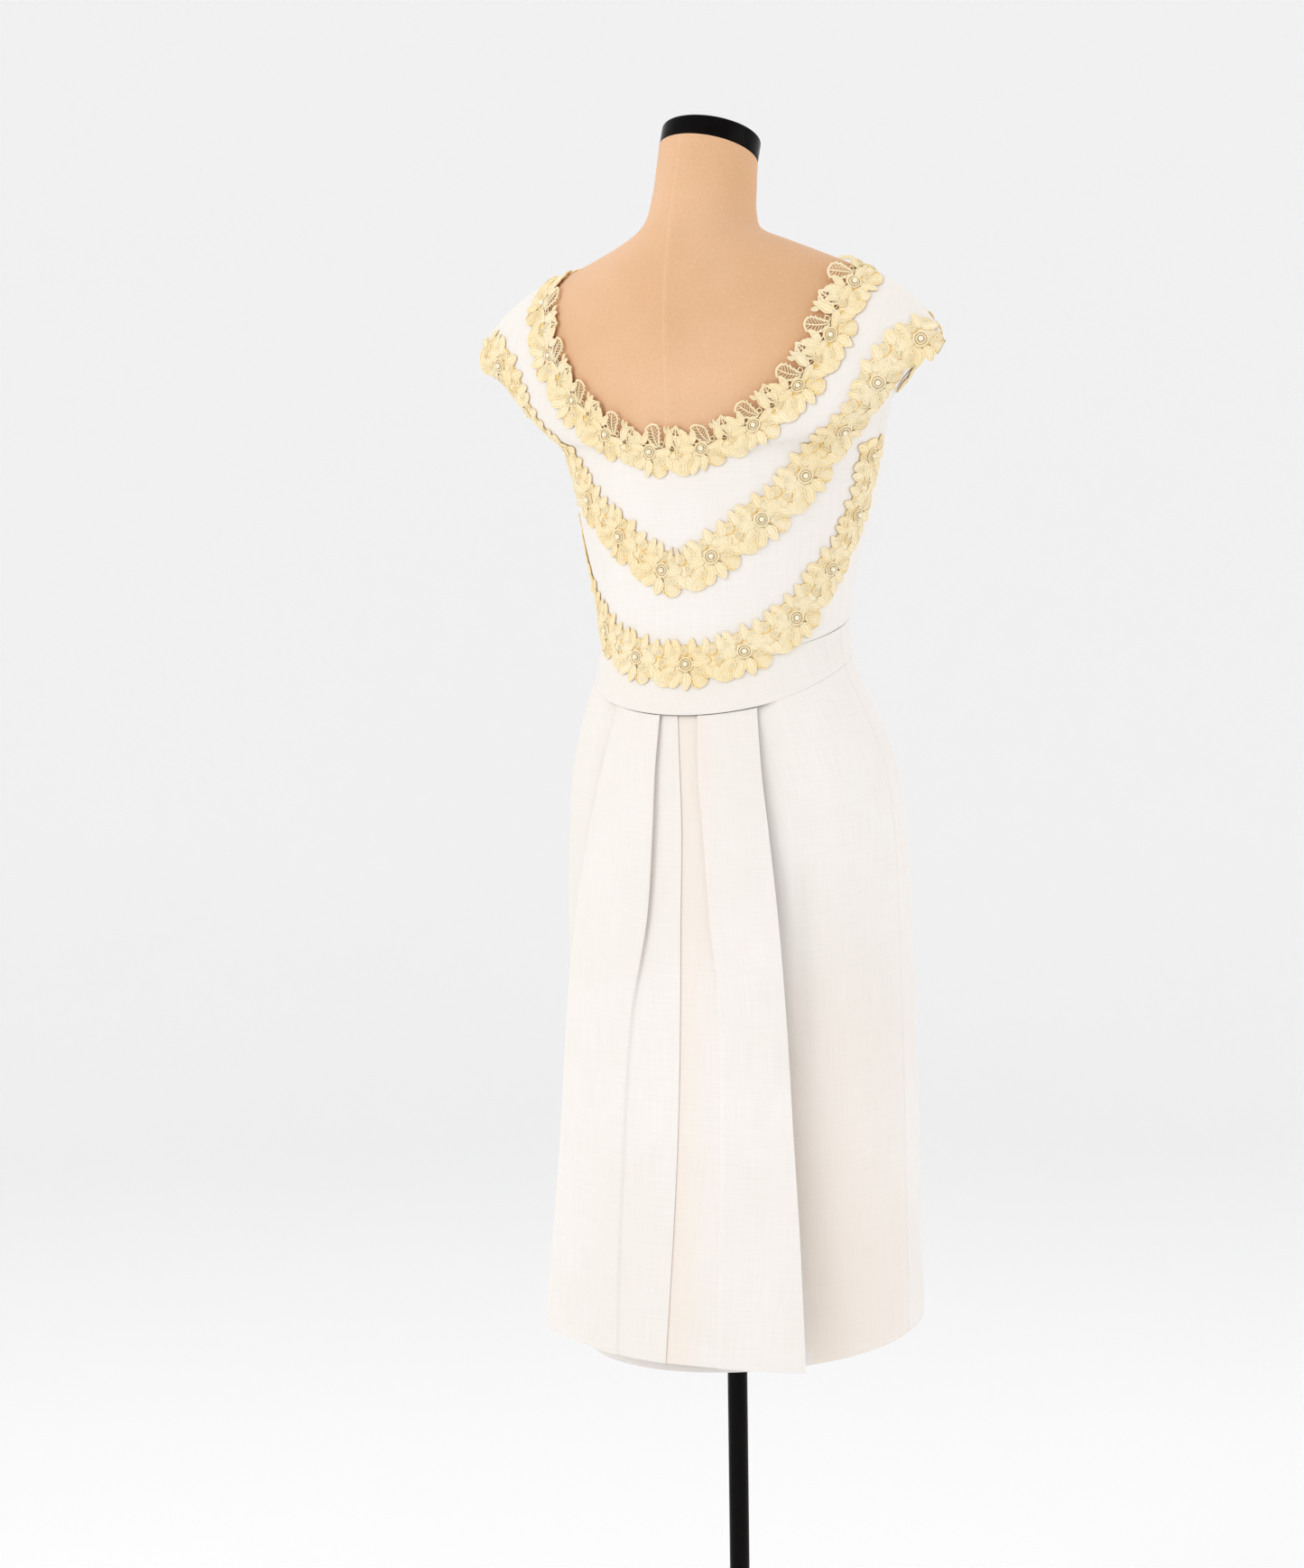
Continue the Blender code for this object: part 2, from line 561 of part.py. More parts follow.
def build_bodice(collection, material, tree):
    """Back and front, each cut in one with its cap sleeves. Returns their outer sheets."""
    sheets = {}
    half_gap = SEAM_GAP / 2 + CLOTH * SEAM_LEAN
    for name, rows, facing in (("bodice_back", BODICE_BACK, 1.0), ("bodice_front", BODICE_FRONT, -1.0)):

        def place(across, up, rows=rows, facing=facing):
            row = round(up * (PANEL_ROWS + 1))
            point = bodice_point(rows, facing, across, min(row / PANEL_ROWS, 1.0), tree)
            if row == PANEL_ROWS:
                point.y += facing * SHOULDER_STRIP
            elif row > PANEL_ROWS:
                point.y += facing * half_gap
            elif across == 1.0:
                parting = SLIT_OPENING * smooth_step(SLIT_START_Z, SLIT_END_Z, point.z)
                point.y += facing * (half_gap + parting)
            return point

        mesh = grid_mesh(name, PANEL_COLUMNS // 2, PANEL_ROWS + 1, place)
        both_halves(mesh)
        raise_clear(mesh, tree, CLOTH + LAY_GAP)
        turn_outwards(mesh, away_from_axis)
        panel = add_object(name, mesh, collection, material)
        add_wall(panel, CLOTH, -1.0)
        shade_round(panel)
        sheets[name] = mesh
    return sheets


def skirt_point(turn, z, tucked):
    """Outside of the narrow skirt and the waistband at an angle and a height."""
    def level(column):
        return table_value(SKIRT_RINGS, "z", column, z)

    depth_back, depth_front = level("back_y"), level("front_y")
    cosine = math.cos(turn)
    y = depth_back * cosine if cosine > 0 else -depth_front * cosine
    point = Vector((level("half") * math.sin(turn) + level("shift"), y, z))
    if tucked:
        turned = abs(math.remainder(turn, 2 * math.pi))
        under = 1 - smooth_step(TUCK_TURN - TUCK_SOFTNESS, TUCK_TURN + TUCK_SOFTNESS, turned)
        depth = TUCK_DEPTH * under * smooth_step(TUCK_FADE_Z, WAIST_BOTTOM_BACK, z)
        inward = Vector((-math.sin(turn), -math.cos(turn), 0.0))
        point += inward * depth
    return point


def waist_bottom(turn):
    """Height of the waistband's lower edge at an angle."""
    back = math.cos(turn)
    return WAIST_BOTTOM - WAIST_BOTTOM_TILT * back - WAIST_BOTTOM_DIP * back ** 2


def seam_turns(facing, half_width, wall):
    """Start and end angle of a front or back panel, with half a seam gap left at each side."""
    trim = (SEAM_GAP / 2 + wall * SEAM_LEAN) / half_width
    if facing > 0:
        return -math.pi / 2 + trim, math.pi / 2 - trim
    return math.pi / 2 + trim, 3 * math.pi / 2 - trim


def build_waistband(collection, material):
    """Contour band in two halves, higher in front than behind."""
    sheets = {}
    for name, facing in (("waistband_back", 1.0), ("waistband_front", -1.0)):
        start, end = seam_turns(facing, WAIST_HALF_WIDTH, BAND_CLOTH)

        def place(across, up, start=start, end=end):
            turn = mix(start, end, across)
            top = WAIST_TOP - SEAM_GAP - WAIST_TOP_TILT * math.cos(turn)
            return skirt_point(turn, mix(waist_bottom(turn), top, up), False)

        mesh = grid_mesh(name, PANEL_COLUMNS, WAISTBAND_ROWS, place)
        turn_outwards(mesh, away_from_axis)
        band = add_object(name, mesh, collection, material)
        add_wall(band, BAND_CLOTH, -1.0)
        shade_round(band)
        sheets[name] = mesh
    return sheets


def build_sheath(collection, material):
    """Narrow skirt in a back and a front."""
    for name, facing in (("skirt_back", 1.0), ("skirt_front", -1.0)):
        start, end = seam_turns(facing, SKIRT_HALF_WIDTH, CLOTH)

        def place(across, up, start=start, end=end):
            turn = mix(start, end, across)
            turned = abs(math.remainder(turn, 2 * math.pi))
            tuck_drop = TUCK_DROP * (1 - smooth_step(TUCK_TURN, TUCK_TURN + 2 * TUCK_SOFTNESS, turned))
            top = waist_bottom(turn) - SEAM_GAP - tuck_drop
            bottom = HEM - HEM_TILT * math.cos(turn) - HEM_LEAN * math.sin(turn)
            height = 1 - (1 - up) ** SKIRT_ROW_SPREAD
            return skirt_point(turn, mix(bottom, top, height), True)

        mesh = grid_mesh(name, PANEL_COLUMNS, SHEATH_ROWS, place)
        turn_outwards(mesh, away_from_axis)
        panel = add_object(name, mesh, collection, material)
        add_wall(panel, CLOTH, -1.0)
        shade_round(panel)


def panel_depth(x, z, lift):
    """y of a hanging panel's outside: a soft arc between its centre and its outer edge, plus the lift."""
    def level(column):
        return table_value(PANEL_LEVELS, "z", column, z)

    part = min(abs(x) / level("edge_x"), 1.0)
    return level("centre_y") - (level("centre_y") - level("edge_y")) * part ** 2 + lift


def hanging_hem(x, z_edge, outer_x):
    """Height of a hanging panel's hem from the centre (x near 0) to its outer edge."""
    part = min(abs(x) / outer_x, 1.0)
    return mix(PANEL_HEM_LAP, z_edge, part ** 2)


def build_hanging_panels(collection, material):
    """Two free back panels hung from the waistband, each with one soft pleat, the left one on top."""
    def level(column, z):
        return table_value(PANEL_LEVELS, "z", column, z)

    hem_x = PANEL_LEVELS[0].edge_x

    def left_column(index, z):
        """x and lift of a column of the left panel, from its lapped edge out to its free edge."""
        lap, fold, edge = level("lap_x", z), level("fold_left", z), level("edge_x", z)
        lift = level("lift", z)
        top_layer = HANGING_WALL + SEAM_GAP
        if index <= INNER_COLUMNS:
            return mix(lap, fold - FOLD_WIDTH, index / INNER_COLUMNS), top_layer
        part = (index - INNER_COLUMNS - 1) / (HANGING_COLUMNS - INNER_COLUMNS - 1)
        return mix(fold, edge, part), top_layer + lift * (1 - part ** 3)

    def right_column(index, z):
        """x and lift of a column of the right panel, from under the lap out to its free edge."""
        lap, fold, edge = level("lap_x", z), level("fold_right", z), -level("edge_x", z)
        lift = level("lift", z)
        if index <= INNER_COLUMNS:
            return mix(lap + UNDERLAP, fold + FOLD_WIDTH, index / INNER_COLUMNS), 0.0
        part = (index - INNER_COLUMNS - 1) / (HANGING_COLUMNS - INNER_COLUMNS - 1)
        return mix(fold, edge, part), (HANGING_WALL + SEAM_GAP + lift) * (1 - RIGHT_PANEL_EASE * part ** 3)

    for name, column_at, edge_hem in (
        ("hanging_panel_left", left_column, PANEL_HEM_EDGE),
        ("hanging_panel_right", right_column, PANEL_HEM_FAR_EDGE),
    ):

        def place(across, up, column_at=column_at, edge_hem=edge_hem):
            index = round(across * HANGING_COLUMNS)
            top_x, _ = column_at(index, WAIST_BOTTOM_BACK)
            top = waist_bottom(math.asin(top_x / PANEL_TOP_RADIUS)) - 2 * SEAM_GAP
            low_x, _ = column_at(index, HEM)
            bottom = hanging_hem(low_x, edge_hem, hem_x)
            z = mix(bottom, top, up)
            x, lift = column_at(index, z)
            return Vector((x, panel_depth(x, z, lift), z))

        mesh = grid_mesh(name, HANGING_COLUMNS, HANGING_ROWS, place)
        turn_outwards(mesh, away_from_axis)
        panel = add_object(name, mesh, collection, material)
        add_wall(panel, HANGING_WALL, -1.0)
        shade_round(panel)


def laid_on(point, tree, lift):
    """The point brought to a height over the nearest face of a sheet."""
    surface, normal, _, _ = tree.find_nearest(point)
    return point + normal * (lift - (point - surface).dot(normal))


def raise_clear(mesh, tree, clearance):
    """Lift a sheet's faces until they keep the clearance over what lies under them."""
    corners = mesh.vertices
    faces = [tuple(face.vertices) for face in mesh.polygons if len(face.vertices) == 4]
    for _ in range(LIFT_ROUNDS):
        for face in faces:
            first, second, third, fourth = (corners[index].co.copy() for index in face)
            lift = Vector()
            for across in LIFT_SAMPLES:
                for up in LIFT_SAMPLES:
                    spot = first.lerp(second, across).lerp(fourth.lerp(third, across), up)
                    surface, normal, _, _ = tree.find_nearest(spot)
                    short = clearance - (spot - surface).dot(normal)
                    if lift.length < short < LIFT_LIMIT:
                        lift = normal * short
            for index in face:
                corners[index].co += lift * LIFT_SHARE


def path_lengths(points):
    lengths = [0.0]
    for before, after in zip(points, points[1:]):
        lengths.append(lengths[-1] + (after - before).length)
    return lengths


def point_on_path(points, lengths, at):
    """Point and direction on a smooth curve through path points."""
    def spot(distance):
        return Vector([smooth_value(lengths, column, distance) for column in zip(*points)])

    ahead = spot(min(at + PATH_STEP, lengths[-1]))
    behind = spot(max(at - PATH_STEP, 0.0))
    return spot(at), (ahead - behind).normalized()


def build_lace(name, points, tree, collection, material, free_tree=None, inner_sign=1.0, holes=False):
    """One lace band along a path on the cloth, with scalloped edges and raised leaves and flowers.

    free_tree is the form under a neckline band, whose inner half stands free over it. inner_sign
    says on which side of the path the inner edge lies. holes cuts the open ground through.
    """
    lengths = path_lengths(points)
    repeats = max(1, round(lengths[-1] / LACE_REPEAT))
    per_repeat = len(LACE_COLUMNS)
    columns = repeats * per_repeat
    rows = len(LACE_ROWS) - 1
    lifts = {}

    def column_place(index):
        """Distance along the path and the pattern column of a mesh column."""
        repeat, pattern = divmod(index, per_repeat)
        if repeat == repeats:
            return lengths[-1], LACE_COLUMNS[0]
        return lengths[-1] * (repeat + LACE_COLUMNS[pattern].along) / repeats, LACE_COLUMNS[pattern]

    def place(across, up):
        index = round(across * columns)
        row = round(up * rows)
        distance, pattern = column_place(index)
        spot, direction = point_on_path(points, lengths, distance)
        _, normal, _, _ = tree.find_nearest(spot)
        sideways = normal.cross(direction).normalized() * inner_sign
        across_part = LACE_ROWS[row]
        edge = pattern.inner_edge if across_part < 0 else pattern.outer_edge
        offset = across_part * LACE_HALF_WIDTH * edge
        point = spot + sideways * offset
        if free_tree is not None and across_part < 0:
            return laid_on(point, free_tree, LACE_FREE_LIFT)
        return laid_on(point, tree, LAY_GAP)

    for index in range(columns + 1):
        _, pattern = column_place(index)
        for row, part in enumerate(LACE_ROWS):
            if part == 0.0:
                lift = pattern.middle_lift
            elif part < 0:
                lift = pattern.inner_lift * (1.0 if part > -1 else LACE_EDGE_SHARE)
            else:
                lift = pattern.outer_lift * (1.0 if part < 1 else LACE_EDGE_SHARE)
            lifts[(index, row)] = lift

    skipped = set()
    if holes:
        for repeat in range(repeats):
            skipped.add((repeat * per_repeat + HOLE_COLUMN, 0))
    mesh = grid_mesh(name, columns, rows, place, skipped)
    for under in (tree, free_tree):
        if under is not None:
            raise_clear(mesh, under, LAY_GAP)
    band = add_object(name, mesh, collection, material)
    raised = band.vertex_groups.new(name="raised")
    order = [(column, row) for row in range(rows + 1) for column in range(columns + 1)]
    for corner, key in enumerate(order):
        share = LACE_WALL / LACE_RELIEF
        raised.add([corner], share + (1 - share) * lifts[key], "REPLACE")
    turn_outwards(mesh, away_from_axis)
    wall = add_wall(band, LACE_RELIEF, 1.0)
    wall.vertex_group = "raised"
    shade_round(band)
    return band


def neckline_path(rows, facing, tree):
    """Neckline of one panel from the wearer's right shoulder round to the left one."""
    steps = len(rows) - 1
    first = next(index for index, row in enumerate(rows) if row.inner_x > 0) - 1
    half = []
    for count in range(NECKLINE_POINTS):
        up = mix(first, steps, count / (NECKLINE_POINTS - 1)) / steps
        half.append(bodice_point(rows, facing, 0.0, up, tree))
    half[-1] = half[-1] + (half[-2] - half[-1]).normalized() * LACE_END_TRIM
    mirrored = [Vector((-point.x, point.y, point.z)) for point in reversed(half[1:])]
    return mirrored + half


def mirrored_path(table):
    """Points of a band from the wearer's right to the left through the centre back."""
    half = [Vector((point.x, point.y, point.z)) for point in table]
    other = [Vector((-point.x, point.y, point.z)) for point in reversed(half[1:])]
    return other + half


def one_side(table, hand):
    return [Vector((point.x * hand, point.y, point.z)) for point in table]


def joined_tree(meshes):
    """One lookup over several sheets."""
    corners, faces = [], []
    for mesh in meshes:
        start = len(corners)
        corners += [corner.co.copy() for corner in mesh.vertices]
        faces += [tuple(index + start for index in face.vertices) for face in mesh.polygons]
    return BVHTree.FromPolygons(corners, faces)


def laid_path(points, tree):
    """A path brought onto the cloth."""
    laid = []
    for point in points:
        surface, _, _, _ = tree.find_nearest(point)
        laid.append(surface)
    return laid


def main():
    for thing in list(bpy.data.objects):
        bpy.data.objects.remove(thing, do_unlink=True)
    collection = bpy.data.collections.new("cocktail_dress")
    bpy.context.scene.collection.children.link(collection)
    finishes = {name: make_material(name) for name in FINISHES}

    torso_mesh = form_mesh()
    torso = add_object("form_torso", torso_mesh, collection, finishes["form_cloth"])
    shade_round(torso)
    body_tree = sheet_tree(torso_mesh)
    build_neck_cap(collection, finishes["black_gloss"])
    build_stand(collection, finishes["black_satin"], FORM_BOTTOM)

    bodice = build_bodice(collection, finishes["ivory_cloth"], body_tree)
    waistband = build_waistband(collection, finishes["ivory_cloth"])
    build_sheath(collection, finishes["ivory_cloth"])
    build_hanging_panels(collection, finishes["ivory_cloth"])

    lace = finishes["lace"]
    for name, sheet, rows, facing in (
        ("lace_neck_back", "bodice_back", BODICE_BACK, 1.0),
        ("lace_neck_front", "bodice_front", BODICE_FRONT, -1.0),
    ):
        path = neckline_path(rows, facing, body_tree)
        cloth_tree = sheet_tree(bodice[sheet])
        build_lace(name, path, cloth_tree, collection, lace, body_tree, facing, True)
    back_tree = joined_tree([bodice["bodice_back"], waistband["waistband_back"]])
    upper_path = laid_path(mirrored_path(V_BAND), back_tree)
    build_lace("lace_v_back", upper_path, back_tree, collection, lace)
    all_round_tree = joined_tree(list(bodice.values()) + list(waistband.values()))
    low_path = laid_path(mirrored_path(LOW_BAND), all_round_tree)
    build_lace("lace_waist_back", low_path, all_round_tree, collection, lace)
    front_tree = sheet_tree(bodice["bodice_front"])
    for name, hand in (("lace_sleeve_left", 1.0), ("lace_sleeve_right", -1.0)):
        sleeve_path = laid_path(one_side(SLEEVE_FRONT_BAND, hand), front_tree)
        build_lace(name, sleeve_path, front_tree, collection, lace, None, -hand)


main()
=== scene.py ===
# %% [markdown]
# # An ivory cocktail dress on its dress form
#
# The object is a narrow sheath dress with cap sleeves, three bands of yellow corded lace and two free
# panels down its back. It stands on a cloth-covered form with a black neck plate and a black pole. The
# packed model is the fixed frame, which gives every piece its place and its size.

# %% Load the packed model
import math
from collections import namedtuple

import bmesh
import bpy
import numpy as np
from mathutils import Matrix, Vector
from mathutils.bvhtree import BVHTree


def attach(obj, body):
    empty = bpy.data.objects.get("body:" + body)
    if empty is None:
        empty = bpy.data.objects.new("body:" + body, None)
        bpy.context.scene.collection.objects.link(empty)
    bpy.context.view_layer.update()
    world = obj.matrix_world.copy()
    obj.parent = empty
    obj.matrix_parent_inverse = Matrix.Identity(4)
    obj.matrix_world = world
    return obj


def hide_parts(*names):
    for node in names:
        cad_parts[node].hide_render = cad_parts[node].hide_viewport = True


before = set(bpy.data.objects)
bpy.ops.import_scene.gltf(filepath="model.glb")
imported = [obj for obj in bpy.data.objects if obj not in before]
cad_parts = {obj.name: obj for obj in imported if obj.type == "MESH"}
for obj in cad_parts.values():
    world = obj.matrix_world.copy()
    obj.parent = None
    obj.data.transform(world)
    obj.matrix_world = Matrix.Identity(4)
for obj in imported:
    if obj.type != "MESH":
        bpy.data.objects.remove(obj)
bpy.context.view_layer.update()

MM = 0.001

# %% [markdown]
# ## The camera first
#
# The photograph looks at the dress from behind, a little from the wearer's right. The eye is higher than
# the waist, so the hem curves down and the neck plate shows from above. Blender's shift slides the picture
# sideways without turning the camera, because the dress stands right of the middle.

# %% Camera
CAMERA_TURN = math.radians(209)
CAMERA_AWAY = 3.5
CAMERA_HEIGHT = 1.25
CAMERA_AIM = 0.96
CAMERA_LENS = 88.5
CAMERA_ROLL = math.radians(-0.68)
PICTURE_HEIGHT_PX = 1737
AXIS_RIGHT_PX = 87

to_camera = Vector((math.sin(CAMERA_TURN), -math.cos(CAMERA_TURN), 0.0))
camera_data = bpy.data.cameras.new("camera")
camera_data.lens = CAMERA_LENS
camera_data.sensor_width = 36
camera_data.shift_x = -AXIS_RIGHT_PX / PICTURE_HEIGHT_PX
camera_data.clip_end = 30
camera = bpy.data.objects.new("camera", camera_data)
bpy.context.scene.collection.objects.link(camera)
bpy.context.scene.camera = camera
camera.location = to_camera * CAMERA_AWAY + Vector((0, 0, CAMERA_HEIGHT))
looking_back = to_camera * CAMERA_AWAY + Vector((0, 0, CAMERA_HEIGHT - CAMERA_AIM))
camera.rotation_euler = looking_back.to_track_quat("Z", "Y").to_euler()
bpy.context.view_layer.update()
camera.matrix_world = camera.matrix_world @ Matrix.Rotation(CAMERA_ROLL, 4, "Z")
print("camera at", [round(value, 2) for value in camera.location])

# %% [markdown]
# ## Smooth curves through short tables
#
# A dressmaker's form and a paper pattern are both described by a few measured levels. The tables below
# hold such levels, and `smooth` reads the curve that runs through them at any place, or at a whole array
# of places. It is a cubic curve whose slope at each level comes from its two neighbours.

# %% Curves and small helpers
def smooth(keys, values, at):
    """Values at places on the smooth curve through (key, value) points with rising keys."""
    keys, values = np.asarray(keys, float), np.asarray(values, float)
    if values.ndim > 1:
        return np.stack([smooth(keys, column, at) for column in values.T], axis=-1)
    last = len(keys) - 1
    before = np.maximum(np.arange(last + 1) - 1, 0)
    after = np.minimum(np.arange(last + 1) + 1, last)
    slopes = (values[after] - values[before]) / (keys[after] - keys[before])
    at = np.clip(at, keys[0], keys[-1])
    index = np.clip(np.searchsorted(keys, at, side="right") - 1, 0, last - 1)
    span = keys[index + 1] - keys[index]
    part = (at - keys[index]) / span
    rise = values[index + 1] - values[index]
    start, end = slopes[index] * span, slopes[index + 1] * span
    second, third = 3 * rise - 2 * start - end, start + end - 2 * rise
    return values[index] + part * (start + part * (second + part * third))


def table(kind, rows):
    """Rows of measures whose columns have names."""
    return [kind(*row) for row in rows]


def from_table(rows, key, column, at):
    return smooth([getattr(row, key) for row in rows], [getattr(row, column) for row in rows], at)


def at_levels(rows, place):
    """Every column of a table at places counted in its rows, each under the column's name."""
    return {name: smooth(range(len(rows)), [getattr(row, name) for row in rows], place)
            for name in rows[0]._fields[1:]}


def step(low, high, value):
    """0 below low, 1 above high, with a soft change between."""
    part = np.clip((value - low) / (high - low), 0.0, 1.0)
    return part * part * (3 - 2 * part)


def mix(first, second, part):
    return first + (second - first) * part


def unit(vectors):
    return vectors / np.maximum(np.linalg.norm(vectors, axis=-1, keepdims=True), 1e-9)


def outward_quads(grid, closed=False):
    """Corner numbers of a grid's faces, facing away from the pole; closed joins last column to first."""
    rows, columns = grid.shape[:2]
    across = np.arange(columns if closed else columns - 1)
    up = np.arange(rows - 1)[:, None] * columns
    following = (across + 1) % columns
    over = up + columns
    faces = np.stack([up + across, up + following, over + following, over + across], axis=-1)
    faces = faces.reshape(-1, 4)
    corners = grid.reshape(-1, 3)[faces]
    normals = np.cross(corners[:, 1] - corners[:, 0], corners[:, 3] - corners[:, 0])
    facing = np.sum(normals * corners[:, 0] * (1, 1, 0))
    return faces if facing > 0 else faces[:, ::-1]


def band_faces(low, high, count):
    """Faces between two closed rings of points, each given by the number of its first point."""
    return [(low + side, low + (side + 1) % count, high + (side + 1) % count, high + side)
            for side in range(count)]


def tree_of(*grids, closed=False):
    """A lookup of the nearest place on one or more grids of points."""
    corners, faces = [], []
    for grid in grids:
        faces += (outward_quads(grid, closed) + len(corners)).tolist()
        corners += grid.reshape(-1, 3).tolist()
    return BVHTree.FromPolygons(corners, faces)


def grid_normals(grid):
    """Normal at each point of a grid, towards the side that lies away from the pole."""
    along, across = np.gradient(grid, axis=1), np.gradient(grid, axis=0)
    normals = unit(np.cross(along, across))
    outward = grid * (1, 1, 0)
    return normals * np.sign(np.sum(normals * outward))


def pushed_off(points, tree, clearance):
    """Points moved out from a surface where they would lie nearer to it than the clearance."""
    moved = points.reshape(-1, 3).copy()
    for index, point in enumerate(moved):
        surface, normal, _, _ = tree.find_nearest(Vector(point))
        height = (Vector(point) - surface).dot(normal)
        if height < clearance:
            moved[index] = point + np.array(normal) * (clearance - height)
    return moved.reshape(points.shape)


def softened(grid, rounds, pinned_edges=True):
    """The grid with each point moved halfway to the middle of its neighbours, round after round."""
    grid = grid.copy()
    for _ in range(rounds):
        inner = (grid[:-2, 1:-1] + grid[2:, 1:-1] + grid[1:-1, :-2] + grid[1:-1, 2:]) / 4
        grid[1:-1, 1:-1] = (grid[1:-1, 1:-1] + inner) / 2
        if not pinned_edges:
            for edge in (grid[0], grid[-1], grid[:, 0], grid[:, -1]):
                edge[1:-1] = (edge[1:-1] * 2 + edge[:-2] + edge[2:]) / 4
    return grid


# %% [markdown]
# ## From a grid of points to a sewn piece
#
# A cut piece of cloth is a sheet, so it starts as a grid of points on its outside. The grid also gives the
# cloth its grain: the UV map called `grain` holds the distance across and up the piece in metres, and the
# weave in the material follows it round every curve. `Solidify` gives the sheet its thickness, inwards,
# and a small `Bevel` rounds the turned edges, which in real cloth are never knife-sharp.

# %% Grid to mesh
JOIN_REACH = 0.05 * MM


def run_lengths(grid, axis):
    """Distance in metres from the first row or column of a grid to each of its points."""
    steps = np.linalg.norm(np.diff(grid, axis=axis), axis=-1)
    start = np.zeros_like(steps[:1] if axis == 0 else steps[:, :1])
    return np.concatenate([start, np.cumsum(steps, axis=axis)], axis=axis)


def grain_of(grid, start=0.0, hand=1.0):
    """Distance across and up a grid: start is the place of its first column, hand its direction."""
    return np.stack([hand * (start + run_lengths(grid, 1)), run_lengths(grid, 0)], axis=-1)


def add_uv(mesh, name, places):
    """A UV map from one flat place for each point of a mesh."""
    corners = np.zeros(len(mesh.loops), np.int32)
    mesh.loops.foreach_get("vertex_index", corners)
    layer = mesh.uv_layers.new(name=name)
    layer.data.foreach_set("uv", np.asarray(places, np.float32)[corners].ravel())


def add_mark(mesh, name, values):
    """A number for each point of a mesh, kept under a name that a material can ask for."""
    attribute = mesh.attributes.new(name, "FLOAT", "POINT")
    attribute.data.foreach_set("value", values.astype(np.float32))


def mesh_from_grids(name, grids, grains, marks=None):
    """One mesh through one or more grids of points, with their grain as UV.

    marks holds a name and values for each grid's points. Points of two grids that meet are joined.
    """
    points, faces, uv = [], [], []
    for grid, grain in zip(grids, grains):
        faces += (outward_quads(grid) + len(points)).tolist()
        points += grid.reshape(-1, 3).tolist()
        uv += grain.reshape(-1, 2).tolist()
    mesh = bpy.data.meshes.new(name)
    mesh.from_pydata(points, [], faces)
    add_uv(mesh, "grain", uv)
    for mark, values in (marks or {}).items():
        add_mark(mesh, mark, np.concatenate([np.ravel(part) for part in values]))
    if len(grids) > 1:
        sheet = bmesh.new()
        sheet.from_mesh(mesh)
        bmesh.ops.remove_doubles(sheet, verts=sheet.verts, dist=JOIN_REACH)
        sheet.to_mesh(mesh)
        sheet.free()
    mesh.shade_smooth()
    return mesh


def add_piece(name, mesh, finish=None):
    piece = bpy.data.objects.new(name, mesh)
    bpy.context.scene.collection.objects.link(piece)
    if finish is not None:
        mesh.materials.append(finish)
    return piece


def add_wall(piece, thickness, rounding):
    """Give a sheet its thickness on its inner side, and round the edges of the cut."""
    wall = piece.modifiers.new("wall", "SOLIDIFY")
    wall.thickness = thickness
    wall.offset = -1.0
    wall.use_even_offset = False
    edge = piece.modifiers.new("edge", "BEVEL")
    edge.width = rounding
    edge.segments = 2
    edge.limit_method = "ANGLE"
    edge.angle_limit = math.radians(50)
    edge.harden_normals = False


def report(piece):
    """Print how many faces a piece has once its modifiers are counted."""
    shown = piece.evaluated_get(bpy.context.evaluated_depsgraph_get())
    print(piece.name, "faces:", len(shown.data.polygons))


# %% [markdown]
# ## Materials written as sums
#
# A procedural material is a sum of waves and noises, and in Python it reads best as one. `Signal` wraps a
# node's output, so that `u * 3 + 1` adds the two Math nodes by itself. `Finish` holds one material while
# it is being made: its `node` method adds any other node, with the settings first and then the values.

# %% Signals and finishes
class Signal:
    """An output of a node that takes part in Python sums; each operator adds one Math node."""

    def __init__(self, finish, socket):
        self.finish = finish
        self.socket = socket

    def maths(self, operation, *terms):
        return self.finish.node("Math", {"operation": operation}, dict(enumerate(terms)))

    def __add__(self, other):
        return self.maths("ADD", self, other)

    def __sub__(self, other):
        return self.maths("SUBTRACT", self, other)

    def __rsub__(self, other):
        return self.maths("SUBTRACT", other, self)

    def __mul__(self, other):
        return self.maths("MULTIPLY", self, other)

    def __truediv__(self, other):
        return self.maths("DIVIDE", self, other)

    def __pow__(self, other):
        return self.maths("POWER", self, other)

    def __abs__(self):
        return self.maths("ABSOLUTE", self)

    __radd__ = __add__
    __rmul__ = __mul__

    def wave(self, length):
        """A sine wave over this signal, with its length in the signal's own unit."""
        return self.maths("SINE", self * (2 * math.pi / length))

    def between(self, low, high):
        """0 below low and 1 above high, with a soft change between."""
        return self.finish.node("MapRange", {"interpolation_type": "SMOOTHSTEP"},
                                {"Value": self, "From Min": low, "From Max": high})


